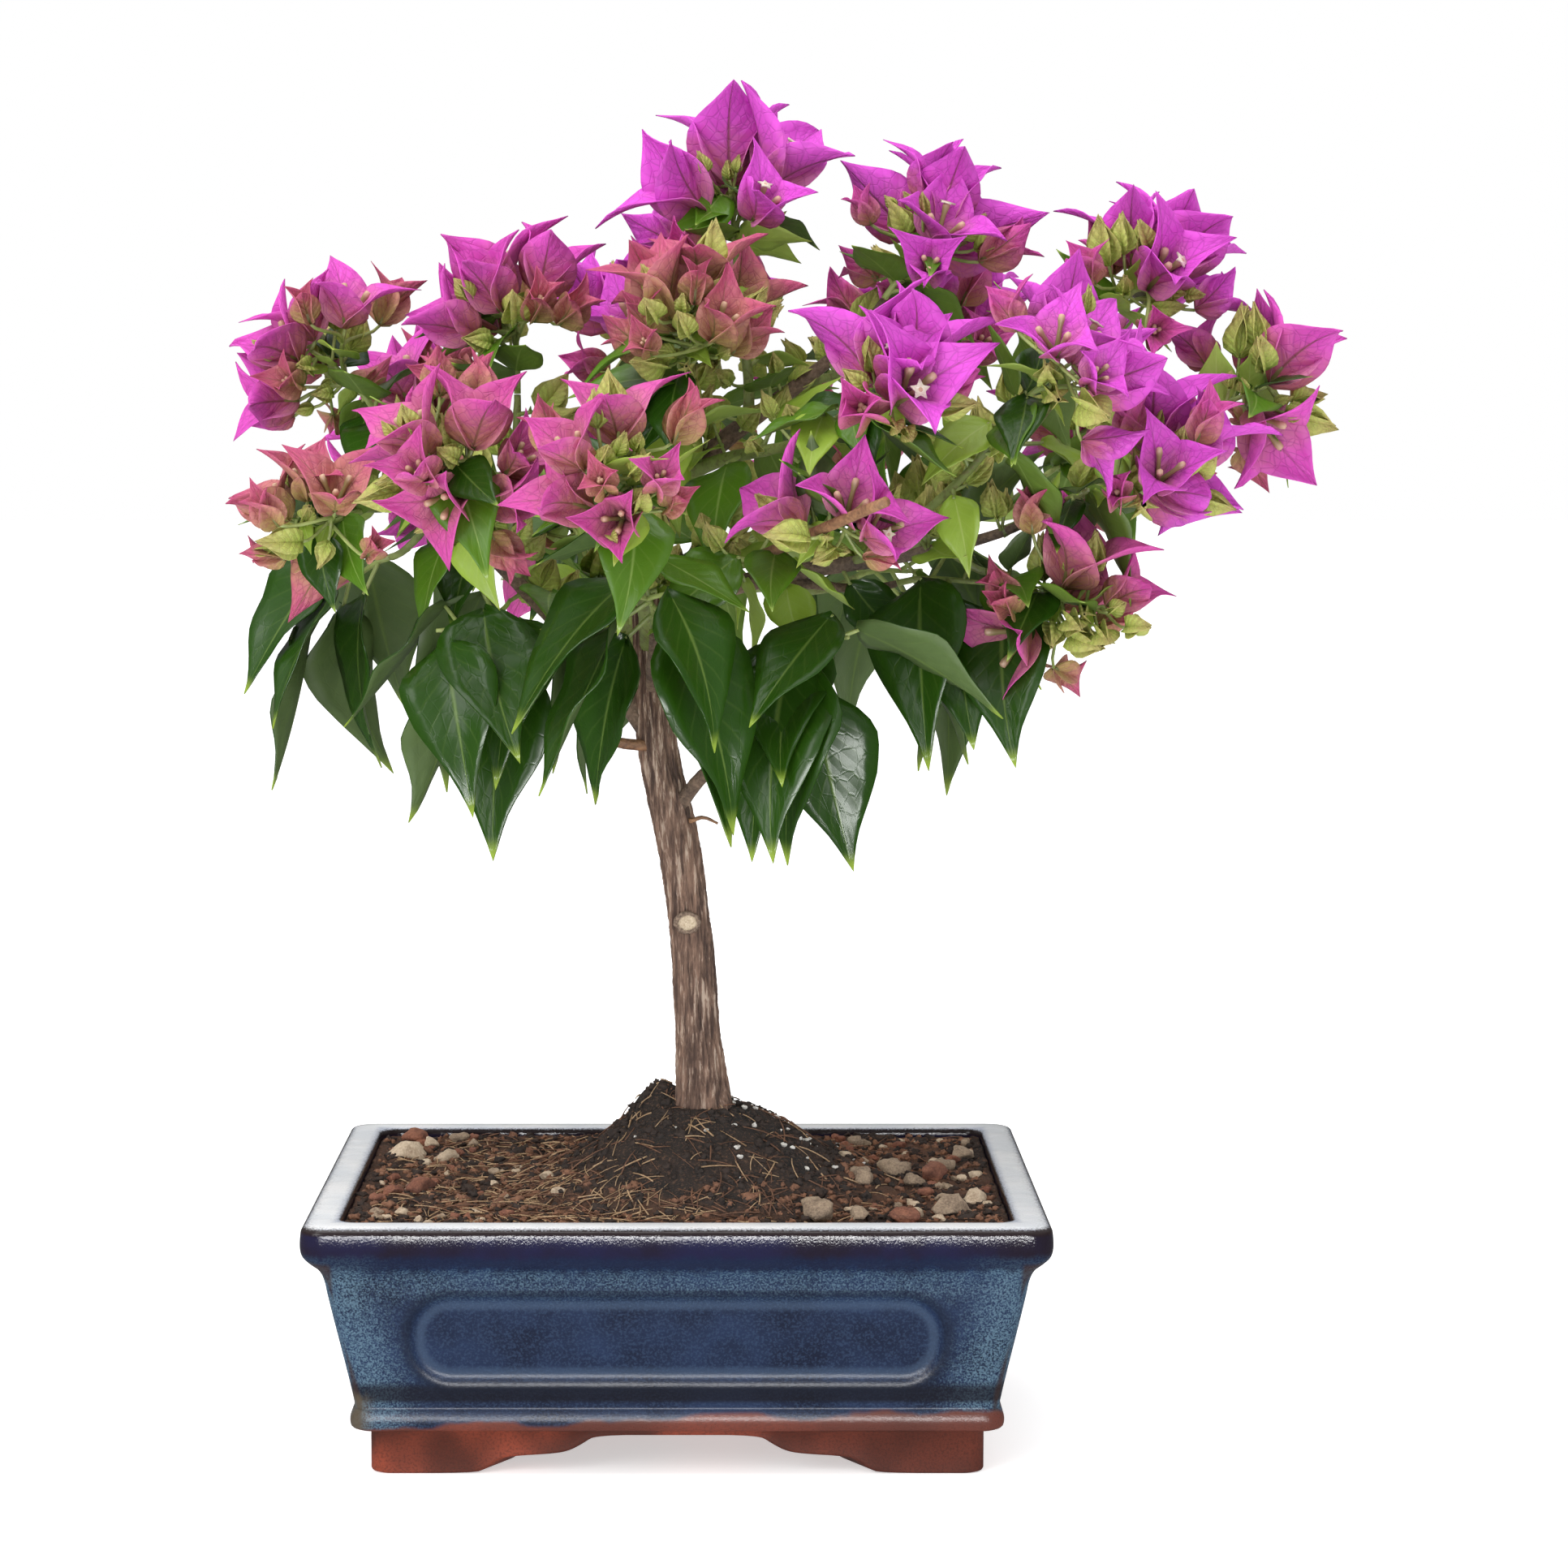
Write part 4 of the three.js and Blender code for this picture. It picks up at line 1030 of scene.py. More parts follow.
def trunk_relief(place, t):
    from_axis = place - trunk_curve.point(t)
    turned = Matrix.Rotation(place.z * 0.006, 3, "Z") @ from_axis
    fibre = Vector((turned.x * 0.75, turned.y * 0.75, place.z * 0.05))
    ridge = 0.55 - abs(noise.fractal(fibre, 0.8, 2.1, 4))
    lumps = noise.noise(Vector((turned.x * 0.16, turned.y * 0.16, place.z * 0.05)))
    flare = math.exp(-max(place.z - FLARE_FOOT, 0) / FLARE_HEIGHT)
    roots = 0.6 + 0.5 * math.cos(3 * math.atan2(turned.y, turned.x) + 0.6)
    return 1.25 * ridge - 0.75 + 0.5 * lumps + 1.3 * flare * roots


print("flare at the trunk's foot:", FLARE_HEIGHT, "mm high")

# %% Trunk
bark, tree, shader = new_finish("bark")
fibres = clouds(millimetres(tree, (1, 1, 0.09)), 0.62, 5.0, 0.7)
coarse = clouds(millimetres(tree, (1, 1, 0.12)), 0.28, 3.0)
cloud, _ = natural_grain(millimetres(tree), 0.05, 1.4)
share = reckon("MULTIPLY_ADD", coarse, 0.4, times(fibres, 0.75))
colour = blend(step_between(share, 0.46, 0.7), (0.05, 0.023, 0.015), (0.32, 0.19, 0.13))
colour = blend(step_between(fibres, 0.53, 0.64, 0, 0.8), colour, (0.62, 0.49, 0.39))
colour = blend(times(cloud, 0.35), colour, (0.15, 0.08, 0.052))
wire(shader, {"Base Color": colour, "Roughness": 0.9})
bump(shader, share, 0.9, 0.0014)

gathered = Gathering()
gathered.add(*tube(trunk_curve, trunk_radius, sides=110, steps=300, relief=trunk_relief))
hand_over("trunk_bark", gathered.mesh("trunk_bark"), bark, ["trunk"])

# %% Boughs
WOODY = ("left", "right", "leader", "skirt_left", "skirt_front", "skirt_right_front", "skirt_right")


def bough_relief(place, t):
    ridge = noise.fractal(Vector((place.x * 0.5, place.y * 0.5, place.z * 0.3)), 0.8, 2.0, 3)
    return 0.16 * ridge + 0.5 * math.exp(-t / 0.05)


brown_bark = mineral(
    "brown_bark", (0.05, 0.028, 0.018), (0.26, 0.17, 0.11),
    roughness=0.8, cloud_scale=0.1, grain_scale=0.9, relief=0.0008,
)
green_bark = flecked(
    "green_bark", scales=(0.06, 0.8), dark=(0.14, 0.18, 0.04), light=(0.28, 0.34, 0.1),
    fleck=(0.14, 0.09, 0.045), fleck_range=(0.55, 0.9, 0, 0.5), roughness=0.55, relief=0.0004,
)
for name, finish, chosen in (
    ("woody_boughs", brown_bark, [s for s in sprays if s.name in WOODY]),
    ("green_boughs", green_bark, [s for s in sprays if s.name not in WOODY]),
):
    gathered = Gathering()
    for spray in chosen:
        curve, radius_at = limbs[spray.name]
        gathered.add(*tube(curve, radius_at, sides=14, steps=30, relief=bough_relief))
    hand_over(name, gathered.mesh(name), finish, [f"bough_{spray.name}" for spray in chosen])

# %% [markdown]
# ### Scar and stubs
#
# A pruned shoot has left an oval scar on the front of the trunk: a dark ring of bark round a pale disc.
# It is a circle that is extruded inwards ring by ring. Three short stubs of pruned twigs are tubes.

# %% Scar
SCAR_PLACE = Vector((2.4, -4.9, 143.2))
SCAR_SHAPE = (0.9, 0.78)
SCAR_RADIUS = 3.6
# Radius of each ring, and how far it stands out
SCAR_RINGS = [(4.0, 1.0), (4.2, 1.9), (3.6, 2.5), (2.9, 2.4), (2.5, 1.9), (1.4, 1.9), (0.5, 2.0)]
bm = bmesh.new()
bmesh.ops.create_circle(bm, segments=40, radius=SCAR_RADIUS)
loop, here = bm.edges[:], (SCAR_RADIUS, 0)
for radius, rise in SCAR_RINGS:
    verts, loop = ring_from(bm, loop)
    bmesh.ops.scale(bm, vec=(radius / here[0], radius / here[0], 1), verts=verts)
    bmesh.ops.translate(bm, vec=(0, 0, rise - here[1]), verts=verts)
    here = (radius, rise)
bmesh.ops.contextual_create(bm, geom=loop)
bmesh.ops.contextual_create(bm, geom=[e for e in bm.edges if e.is_boundary])
bmesh.ops.scale(bm, vec=(*SCAR_SHAPE, 1), verts=bm.verts)
for vert in bm.verts:
    vert.co += Vector((0.25, 0.25, 0.12)) * noise.noise(vert.co * 0.9)
bmesh.ops.rotate(bm, matrix=Matrix.Rotation(math.pi / 2, 3, "X"), verts=bm.verts)
bmesh.ops.translate(bm, vec=SCAR_PLACE, verts=bm.verts)
bmesh.ops.recalc_face_normals(bm, faces=bm.faces)
print("faces of the scar:", len(bm.faces))

# %% The scar's finish
scar, tree, shader = new_finish("scar")
axes = axes_of(millimetres(tree))
out_x = reckon("DIVIDE", minus(axes["X"], SCAR_PLACE.x), SCAR_SHAPE[0])
out_z = reckon("DIVIDE", minus(axes["Z"], SCAR_PLACE.z), SCAR_SHAPE[1])
out = reckon("SQRT", reckon("MULTIPLY_ADD", out_x, out_x, times(out_z, out_z)))
cloud, speck = natural_grain(millimetres(tree), 0.3, 1.5)
disc = blend(speck, (0.5, 0.38, 0.25), (0.74, 0.62, 0.46))
ring = blend(speck, (0.1, 0.06, 0.04), (0.34, 0.24, 0.17))
wavering = reckon("MULTIPLY_ADD", cloud, 0.6, out)
wire(shader, {"Base Color": blend(step_between(wavering, 2.7, 3.2), disc, ring), "Roughness": 0.85})
bump(shader, speck, 0.5, 0.0004)
hand_over("trunk_scar", mesh_from(bm, "trunk_scar"), scar)

# %% Stubs of pruned twigs
dry_wood = mineral(
    "dry_wood", (0.13, 0.055, 0.025), (0.4, 0.2, 0.09), roughness=0.7, cloud_scale=0.15, grain_scale=0.8,
)
centre_limb, _ = limbs["centre"]
cut_from = centre_limb.point(0.7)
# Start, middle and end, and thickness at both ends
STUBS = [
    (Vector((-8, -3, 192.5)), Vector((-18, -5, 194)), Vector((-28.5, -7, 199.4)), 1.7, 1.2),
    (Vector((3, -4, 171.5)), Vector((7, -5.2, 172.6)), Vector((11, -5.5, 171)), 0.7, 0.35),
    (cut_from, cut_from + Vector((8, -22, 5)), Vector((53, -104, 263)), 1.7, 1.4),
]


def stub_relief(place, t):
    return 0.15 * noise.noise(place)


gathered = Gathering()
for start, middle, end, thick, thin in STUBS:
    curve = Bend([start, middle, end])
    gathered.add(*tube(curve, taper(thick, thin), sides=10, steps=14, relief=stub_relief))
hand_over("pruned_stubs", gathered.mesh("pruned_stubs"), dry_wood)

# %% [markdown]
# ## Foliage by the rule
#
# Each mass grows from one stem at its limb's tip. Flowers sit from the stem's tip downwards, leaves
# along it, buds on the flowers' stalks; each is tried a few times and skipped where it would leave its
# space or touch what is already there. Touching is tested on simple shapes with a search tree, as a
# test on the fine meshes would be slow and no better.

# %% The rule's sizes
CROWN_HEART = Vector((25, 0, 232))
BRACT_LENGTH, BRACT_WIDEST, BRACT_HALF_WIDTH, BRACT_CUP, BRACT_NOTCH = 33, 0.42, 0.37, 0.14, 0.1
LEAF_OUTLINE, SKIRT_LEAF_OUTLINE = [(0.38, 0.27)], [(0.3, 0.25), (0.64, 0.19)]
SKIRT_LEAF_LENGTH, LEAF_LENGTH = 52, 32
TRIES, SHRINK, ROOM = 7, 0.06, 0.7
MOST_SHAPES = 9000
FLOWER_DEPTH = 1.6
FORK_CLEAR = 6


def by_chance(draw, least, play):
    return least + play * draw()


print("bracts up to", BRACT_LENGTH, "mm and leaves about", LEAF_LENGTH, "and", SKIRT_LEAF_LENGTH, "mm long")


# %% What is already in the crown
class Crown:
    """Simple shapes already grown, with their boxes, so that a new one can be tried against them."""

    def __init__(self):
        self.lows, self.highs = np.empty((MOST_SHAPES, 3)), np.empty((MOST_SHAPES, 3))
        self.trees, self.owners = [], []

    def shape(self, points, faces):
        points = np.array(points)
        return points, BVHTree.FromPolygons(points.tolist(), np.asarray(faces).tolist(), all_triangles=True)

    def keep(self, shape, owner=None):
        count = len(self.trees)
        self.lows[count], self.highs[count] = shape[0].min(0), shape[0].max(0)
        self.trees.append(shape[1])
        self.owners.append(owner)

    def clear(self, shape, *allowed):
        count = len(self.trees)
        low, high = shape[0].min(0), shape[0].max(0)
        meet = np.all((self.lows[:count] <= high) & (self.highs[:count] >= low), axis=1)
        return not any(
            self.owners[i] not in allowed and shape[1].overlap(self.trees[i]) for i in np.nonzero(meet)[0]
        )


crown = Crown()
for name, (curve, radius_at) in limbs.items():
    sides, steps = (9, 12) if name == "trunk" else (5, 4)
    crown.keep(crown.shape(*tube(curve, lambda t: radius_at(t) + GAP, sides, steps)), "limb")
print("limbs in the crown:", len(crown.trees))


# %% Outline of a flower for the test
def lens(outline, front, back):
    count = len(outline)
    ring = range(count)
    faces = [(count, k, (k + 1) % count) for k in ring] + [(count + 1, (k + 1) % count, k) for k in ring]
    return [*outline, front, back], faces


class Flower:
    def __init__(self, root, axis, length, turn, opened, tint):
        self.root, self.axis, self.length, self.turn, self.opened = root, axis, length, turn, opened
        self.tint = tint

    def bracts(self, share=1.0):
        axes = square_to(self.axis)
        for k in range(3):
            along = leaning(axes, self.opened * share, self.turn - k * THIRD_TURN)
            across = self.axis.cross(along).normalized()
            yield along, across, along.cross(across)

    def outline(self, room=0.0, share=1.0):
        axes = square_to(self.axis)
        size = self.length * share + 2 * room
        beside = BRACT_WIDEST * math.sin(self.opened) * math.tan(THIRD_TURN / 2)
        half = min(BRACT_HALF_WIDTH, 0.95 * beside)
        points = []
        for k, (along, across, facing) in enumerate(self.bracts()):
            middle = self.root + along * (BRACT_WIDEST * size) + facing * (half * BRACT_CUP * size)
            notch = leaning(axes, math.pi / 2, self.turn - (k - 0.5) * THIRD_TURN) * (BRACT_NOTCH * size)
            side = across * (half * size)
            points += [self.root + notch, middle - side, self.root + along * size, middle + side]
        return points

    def guard(self, room, share=1.0):
        depth = self.axis * (FLOWER_DEPTH + room)
        return crown.shape(*lens(self.outline(room, share), self.root + depth, self.root - depth))


sample = Flower(Vector(), UP, BRACT_LENGTH, 0, 0.7, "violet")
print("points in a flower's outline:", len(sample.outline()))


# %% Outline of a leaf for the test
class Leaf:
    def __init__(self, root, along, size, halves, kind):
        self.root, self.along, self.size, self.halves, self.kind = root, along, size, halves, kind
        self.across = UP.cross(along).normalized()
        self.facing = along.cross(self.across)

    def at(self, u, v, lift, room):
        size = self.size + 2 * room
        place = self.root + self.along * (u * size - room) + self.across * (v * size)
        return place + self.facing * (lift + abs(v) * size * 0.18)

    def outline(self, room=0.0):
        right = [self.at(u, -v, 0, room) for u, v in self.halves]
        left = [self.at(u, v, 0, room) for u, v in reversed(self.halves)]
        return [self.at(0, 0, 0, room), *right, self.at(1, 0, 0, room), *left]

    def guard(self, room):
        widest, half = self.halves[0][0], 0.5 + room
        return crown.shape(*lens(
            self.outline(room), self.at(widest, 0, half, room), self.at(widest, 0, -half, room),
        ))


def within(spray, outline):
    return all((point - spray.middle).length <= spray.reach for point in outline)


sample = Leaf(Vector(), FORWARD, LEAF_LENGTH, LEAF_OUTLINE, "young")
print("points in a leaf's outline:", len(sample.outline()))

# %% Collecting what grows
flowers, leaves, buds, stalks = [], [], [], []


class Stalk:
    def __init__(self, start, leaving, end, arriving, foot=0.7, tip=0.55):
        self.curve, self.foot, self.tip = Reach(start, leaving, end, arriving), foot, tip

    def guard(self, steps=2):
        return crown.shape(*tube(self.curve, taper(self.foot, self.tip), sides=3, steps=steps))


def take_flower(spray, stalk, flower, owner, share=1.0):
    guards = stalk.guard(), flower.guard(ROOM if share == 1 else 0, share)
    if not all(crown.clear(guard, ("stem", spray.name), owner) for guard in guards):
        return False
    crown.keep(guards[0], ("stalk", id(stalk)))
    crown.keep(flower.guard(0, share))
    flowers.append(flower)
    stalks.append(stalk)
    return True


def before_fork(leaf):
    """Whether a leaf hangs right in front of the trunk, which the photograph shows up to its fork."""
    tip = leaf.root + leaf.along * leaf.size
    return tip.y < 0 and all(abs(end.x - TRUNK_BEND[-1]) < FORK_CLEAR for end in (leaf.root, tip))


def take_leaf(spray, leaf, start, out, end, stalked, owner=None):
    stalk = Stalk(start, out, end, out) if stalked else None
    guards = [leaf.guard(ROOM)] + ([stalk.guard(1)] if stalk else [])
    if not all(crown.clear(guard, ("stem", spray.name), owner) for guard in guards):
        return False
    crown.keep(leaf.guard(0))
    if stalk:
        crown.keep(guards[1])
    if not (spray.hangs and before_fork(leaf)):
        leaves.append(leaf)
        stalks.extend([stalk] if stalk else [])
    return True


print("shapes in the crown so far:", len(crown.trees))


# %% Flowers and leaves of the solids' rule
def grow_flower(spray, stem, axes, i, draw):
    share = i / (spray.flowers - 1) if spray.flowers > 1 else 0
    node = 0.98 - 0.7 * share
    full = BRACT_LENGTH * (0.66 + 0.34 * spray.ripe)
    for attempt in range(TRIES):
        tilt = 1.5 * math.sqrt(share) + by_chance(draw, -0.45, 0.9)
        way = leaning(axes, tilt, spray.turn + i * GOLDEN_TURN + by_chance(draw, -0.6, 1.2))
        seat = spray.middle + way * (spray.reach * by_chance(draw, 0.12, 0.4))
        facing = (way + UP * 0.3).normalized()
        turn, opened = by_chance(draw, 0, 2 * math.pi), by_chance(draw, 0.55, 0.4)
        length = full * (by_chance(draw, 0.85, 0.25) - SHRINK * attempt)
        flower = Flower(seat, facing, length, turn, opened, spray.tint)
        if within(spray, flower.outline()):
            stalk = Stalk(stem.point(node), stem.way(node), seat, facing)
            if take_flower(spray, stalk, flower, None):
                return stalk, flower
    return None


def grow_leaf(spray, stem, axes, j, draw):
    halves = SKIRT_LEAF_OUTLINE if spray.hangs else LEAF_OUTLINE
    usual = SKIRT_LEAF_LENGTH if spray.hangs else LEAF_LENGTH
    start = stem.point(0.1 + 0.86 * (j + 0.5) / spray.leaves)
    for attempt in range(TRIES):
        turn = spray.turn + math.pi / 2 + j * GOLDEN_TURN + by_chance(draw, -0.7, 1.4)
        drop = by_chance(draw, 0.7, 1.1) if spray.hangs else by_chance(draw, 0.1, 0.5)
        size = usual * (by_chance(draw, 0.85, 0.25) - SHRINK * attempt)
        out = leaning(axes, 1.2, turn)
        along = (out - UP * drop).normalized()
        end = start + out * (0.2 * size if spray.hangs else 0)
        leaf = Leaf(end - along, along, size, halves, "old" if spray.hangs else "young")
        if within(spray, leaf.outline()) and take_leaf(spray, leaf, start, out, end, spray.hangs):
            return


print("tries for each flower and leaf:", TRIES)

# %% [markdown]
# The solids stop at one flower to a stalk. On the real plant a stalk forks again: beside each full
# flower stand one or two smaller, younger ones, small leaves sit at the forks, and thin stalks carry
# buds. The same rule is carried on to those finer twigs, inside the same space. Leaves and buds also
# sit along each limb that flowers, between the trunk and its mass.

# %% Side flowers
YOUNGER = {"violet": "rose", "magenta": "salmon", "rose": "salmon", "salmon": "salmon"}


def grow_side_flowers(spray, stalk, flower, draw):
    grown = 0
    for place in (0.9, 0.75, 0.6, 0.45, 0.3):
        for _ in range(6):
            tilt, turn = by_chance(draw, 0.5, 0.9), by_chance(draw, 0, 2 * math.pi)
            way = leaning(square_to(flower.axis), tilt, turn)
            seat = stalk.curve.point(place) + way * by_chance(draw, 8, 12)
            facing = (way + flower.axis * 0.4 + UP * 0.25).normalized()
            young = draw() < 0.45
            length = flower.length * (by_chance(draw, 0.5, 0.22) if young else by_chance(draw, 0.7, 0.3))
            opened = by_chance(draw, 0.3, 0.25) if young else by_chance(draw, 0.5, 0.4)
            tint = YOUNGER[spray.tint] if young else spray.tint
            side = Flower(seat, facing, length, by_chance(draw, 0, 2 * math.pi), opened, tint)
            if within(spray, side.outline()):
                fork, leaving = stalk.curve.point(place), stalk.curve.way(place)
                twig = Stalk(fork, leaving, seat, facing, foot=0.6, tip=0.45)
                if take_flower(spray, twig, side, ("stalk", id(stalk)), 0.72):
                    grown += 1
                    break
        if grown == 2:
            return


print("tints of younger flowers:", YOUNGER)


# %% Buds
def grow_bud(spray, curve, owner, axes, draw, length):
    for _ in range(5):
        tilt, turn = by_chance(draw, 0.4, 1.2), by_chance(draw, 0, 2 * math.pi)
        way = leaning(axes, tilt, turn)
        start = curve.point(by_chance(draw, 0.25, 0.6))
        seat = start + way * by_chance(draw, 4, 9)
        facing, opened = (way + UP * 0.5).normalized(), by_chance(draw, 0.14, 0.16)
        bud = Flower(seat, facing, length, turn, opened, "budding")
        tip = seat + bud.axis * length
        middle_line = Reach(seat, bud.axis, tip, bud.axis)
        points, faces = tube(middle_line, taper(0.2 * length, 0.3), sides=4, steps=1)
        guard = crown.shape(points, faces)
        inside = owner == "limb" or within(spray, [Vector(point) for point in points])
        if inside and crown.clear(guard, ("stem", spray.name), owner):
            crown.keep(guard)
            buds.append(bud)
            stalks.append(Stalk(start, way, seat, bud.axis, foot=0.5, tip=0.45))
            return


print("buds so far:", len(buds))


# %% Leaves on stalks and stems
def grow_small_leaf(spray, stalk, axes, draw):
    for attempt in range(4):
        start = stalk.curve.point(by_chance(draw, 0.05, 0.5))
        out = leaning(axes, by_chance(draw, 0.9, 0.5), by_chance(draw, 0, 2 * math.pi))
        along = (out - UP * by_chance(draw, 0, 0.6)).normalized()
        size = by_chance(draw, 9, 18) - attempt
        leaf = Leaf(start, along, size, LEAF_OUTLINE, "fresh" if size < 23 else "young")
        inside = within(spray, leaf.outline())
        if inside and take_leaf(spray, leaf, start, out, start, False, ("stalk", id(stalk))):
            return


def grow_extra_leaf(spray, stem, axes, draw):
    for attempt in range(5):
        start = stem.point(by_chance(draw, 0.02, 0.9))
        out = leaning(axes, by_chance(draw, 0.9, 0.6), by_chance(draw, 0, 2 * math.pi))
        drop = by_chance(draw, 0.1, 0.7)
        size = by_chance(draw, 18, 12) - attempt
        along = (out - UP * drop).normalized()
        end = start + out * (0.16 * size)
        leaf = Leaf(end - along, along, size, LEAF_OUTLINE, "old" if draw() < 0.5 else "young")
        if within(spray, leaf.outline()) and take_leaf(spray, leaf, start, out, end, True):
            return


print("leaves so far:", len(leaves))

# %% Leaves on the limbs
LIMB_LEAF_STEP = 12.0


def grow_limb_leaf(curve, t, turn, draw):
    """A leaf on the limb itself, between the trunk and the mass."""
    start, axes = curve.point(t), square_to(curve.way(t))
    for attempt in range(5):
        out = leaning(axes, by_chance(draw, 0.9, 0.5), turn + by_chance(draw, -0.8, 1.6))
        size = by_chance(draw, 22, 14) - 2 * attempt
        along = (out - UP * by_chance(draw, 0.1, 0.9)).normalized()
        end = start + out * (0.25 * size)
        kind = "old" if draw() < 0.45 else "young"
        leaf = Leaf(end - along, along, size, LEAF_OUTLINE, kind if size > 26 else "fresh")
        stalk = Stalk(start, out, end, out)
        if crown.clear(leaf.guard(ROOM)) and crown.clear(stalk.guard(1), "limb"):
            crown.keep(leaf.guard(0))
            crown.keep(stalk.guard(1))
            leaves.append(leaf)
            stalks.append(stalk)
            return


print("a leaf for every", LIMB_LEAF_STEP, "mm of limb")

# %% Grow every mass
masses = []
for spray in sprays:
    axes = square_to((spray.crest - CROWN_HEART).normalized())
    curve, _ = limbs[spray.name]
    tip_way = curve.way(1)
    root, apex = curve.point(1) + tip_way * GAP, spray.crest + axes[0] * (0.2 * spray.reach)
    stem = Stalk(root, tip_way, apex, axes[0], foot=0.95, tip=0.55)
    crown.keep(stem.guard(3), ("stem", spray.name))
    stalks.append(stem)
    draws = [stream(3 * spray.index + k) for k in (1, 2, 3)]
    grown = [grow_flower(spray, stem.curve, axes, i, draws[0]) for i in range(spray.flowers)]
    for j in range(spray.leaves):
        grow_leaf(spray, stem.curve, axes, j, draws[1])
    masses.append((spray, stem, axes, [pair for pair in grown if pair]))
print("by the solids' rule:", len(flowers), "flowers,", len(leaves), "leaves")

# %% Grow the finer twigs
EXTRA_LEAVES, SMALL_LEAVES, BUDS, UNRIPE, UNRIPE_BUDS = 5, 3, 3, 0.75, 2
for spray, stem, axes, pairs in masses:
    draw = stream(900 + spray.index)
    for stalk, flower in pairs:
        grow_side_flowers(spray, stalk, flower, draw)
    for _ in range(0 if spray.hangs else EXTRA_LEAVES):
        grow_extra_leaf(spray, stem.curve, axes, draw)
    for stalk, flower in pairs:
        for _ in range(SMALL_LEAVES):
            grow_small_leaf(spray, stalk, axes, draw)
        for _ in range(BUDS + (spray.ripe < UNRIPE) * UNRIPE_BUDS):
            grow_bud(spray, stalk.curve, ("stalk", id(stalk)), axes, draw, by_chance(draw, 5, 10))

# Leaves and buds along the limbs
for spray in sprays:
    curve, _ = limbs[spray.name]
    count = 0 if spray.hangs else round((curve.point(1) - curve.point(0)).length / LIMB_LEAF_STEP)
    draw = stream(1500 + spray.index)
    for k in range(count):
        grow_limb_leaf(curve, 0.3 + 0.68 * (k + 0.5) / count, k * GOLDEN_TURN, draw)
        grow_bud(spray, curve, "limb", square_to(UP), draw, by_chance(draw, 7, 9))
print("with finer twigs:", len(flowers), "flowers,", len(leaves), "leaves,", len(buds), "buds")

# %% [markdown]
# ## Bracts and leaves as shapes
#
# What looks like a petal is a bract, a coloured leaf: pointed, with a round base, cupped along its
# length and bent back at its tip. A leaf is longer, with a drawn-out tip, a keel and wavy margins. Both
# start as a grid that is drawn to the outline and bent, and get a little thickness. A handful of
# differing templates is enough, as each copy is turned and sized by the rule.

# %% Outline curves
BRACT_EDGE = ([0, 0.03, 0.08, 0.16, 0.26, 0.36, 0.46, 0.56, 0.66, 0.76, 0.86, 0.94, 1],
              [0.16, 0.44, 0.68, 0.88, 0.98, 1, 0.93, 0.78, 0.58, 0.37, 0.19, 0.07, 0])
LEAF_EDGE = ([0, 0.04, 0.1, 0.18, 0.28, 0.38, 0.5, 0.6, 0.7, 0.8, 0.9, 1],
             [0.05, 0.28, 0.6, 0.87, 1, 0.98, 0.86, 0.68, 0.46, 0.26, 0.12, 0])
print("points in the edge of a bract:", len(BRACT_EDGE[0]), "and of a leaf:", len(LEAF_EDGE[0]))

# %% Blades
# The map of a blade: its face left of the half and its back right of it
MAP_MIDDLE, MAP_HALF = 0.25, 0.22


def blade_template(edge, half_width, rows, columns, lift, thickness, sway=0.0):
    """A blade along +X, across +Y, facing +Z, one unit long. lift(s, t) bends it; s runs along it and t
    from edge to edge. sway moves the tip to one side."""
    bm = bmesh.new()
    bmesh.ops.create_grid(bm, x_segments=rows, y_segments=columns, size=1)
    run = bm.verts.layers.float.new("along")
    span = bm.verts.layers.float.new("across")
    for vert in bm.verts:
        s, t = (vert.co.x + 1) / 2, vert.co.y
        vert[run], vert[span] = s, (t if s < 0.999 else 0)
        vert.co = (s, t * half_width * float(np.interp(s, *edge)) + sway * s**2.5, lift(s, t))
    tip = [vert for vert in bm.verts if vert[run] > 0.999]
    bmesh.ops.pointmerge(bm, verts=tip, merge_co=Vector((1, sway, lift(1, 0))))
    bm.normal_update()
    if sum(face.normal.z for face in bm.faces) < 0:
        bmesh.ops.reverse_faces(bm, faces=bm.faces)
    bmesh.ops.solidify(bm, geom=bm.faces[:], thickness=thickness)
    bm.normal_update()

    def corner(face, loop):
        s, t = loop.vert[run], loop.vert[span]
        middle = MAP_MIDDLE if face.normal.z > 0 else MAP_MIDDLE + 0.5
        return middle + MAP_HALF * t, 0.02 + 0.96 * s

    return Template(bm, corner)


print("map of a blade: middle", MAP_MIDDLE, "and half", MAP_HALF)


# %% How bracts and leaves bend
def bract_lift(rise, bend, cup, wave, phase):
    def lift(s, t):
        ripple = wave * abs(t) ** 2 * math.sin(9 * s + phase + (2 if t > 0 else 0))
        hollow = cup * abs(t) ** 1.6 * math.sin(math.pi * min(s * 0.9 + 0.06, 1))
        return hollow + rise * s - bend * s * s + ripple
    return lift


def leaf_lift(droop, keel, wave, phase):
    def lift(s, t):
        ripple = wave * abs(t) ** 1.5 * math.sin(13 * s + phase + (1.7 if t > 0 else 0))
        return keel * abs(t) * math.sin(math.pi * min(s + 0.05, 1)) - droop * s * s + ripple * (1 - s)
    return lift


straight = bract_lift(rise=0.5, bend=0, cup=0, wave=0, phase=0)
print("a bract that only rises ends at", straight(1, 0))

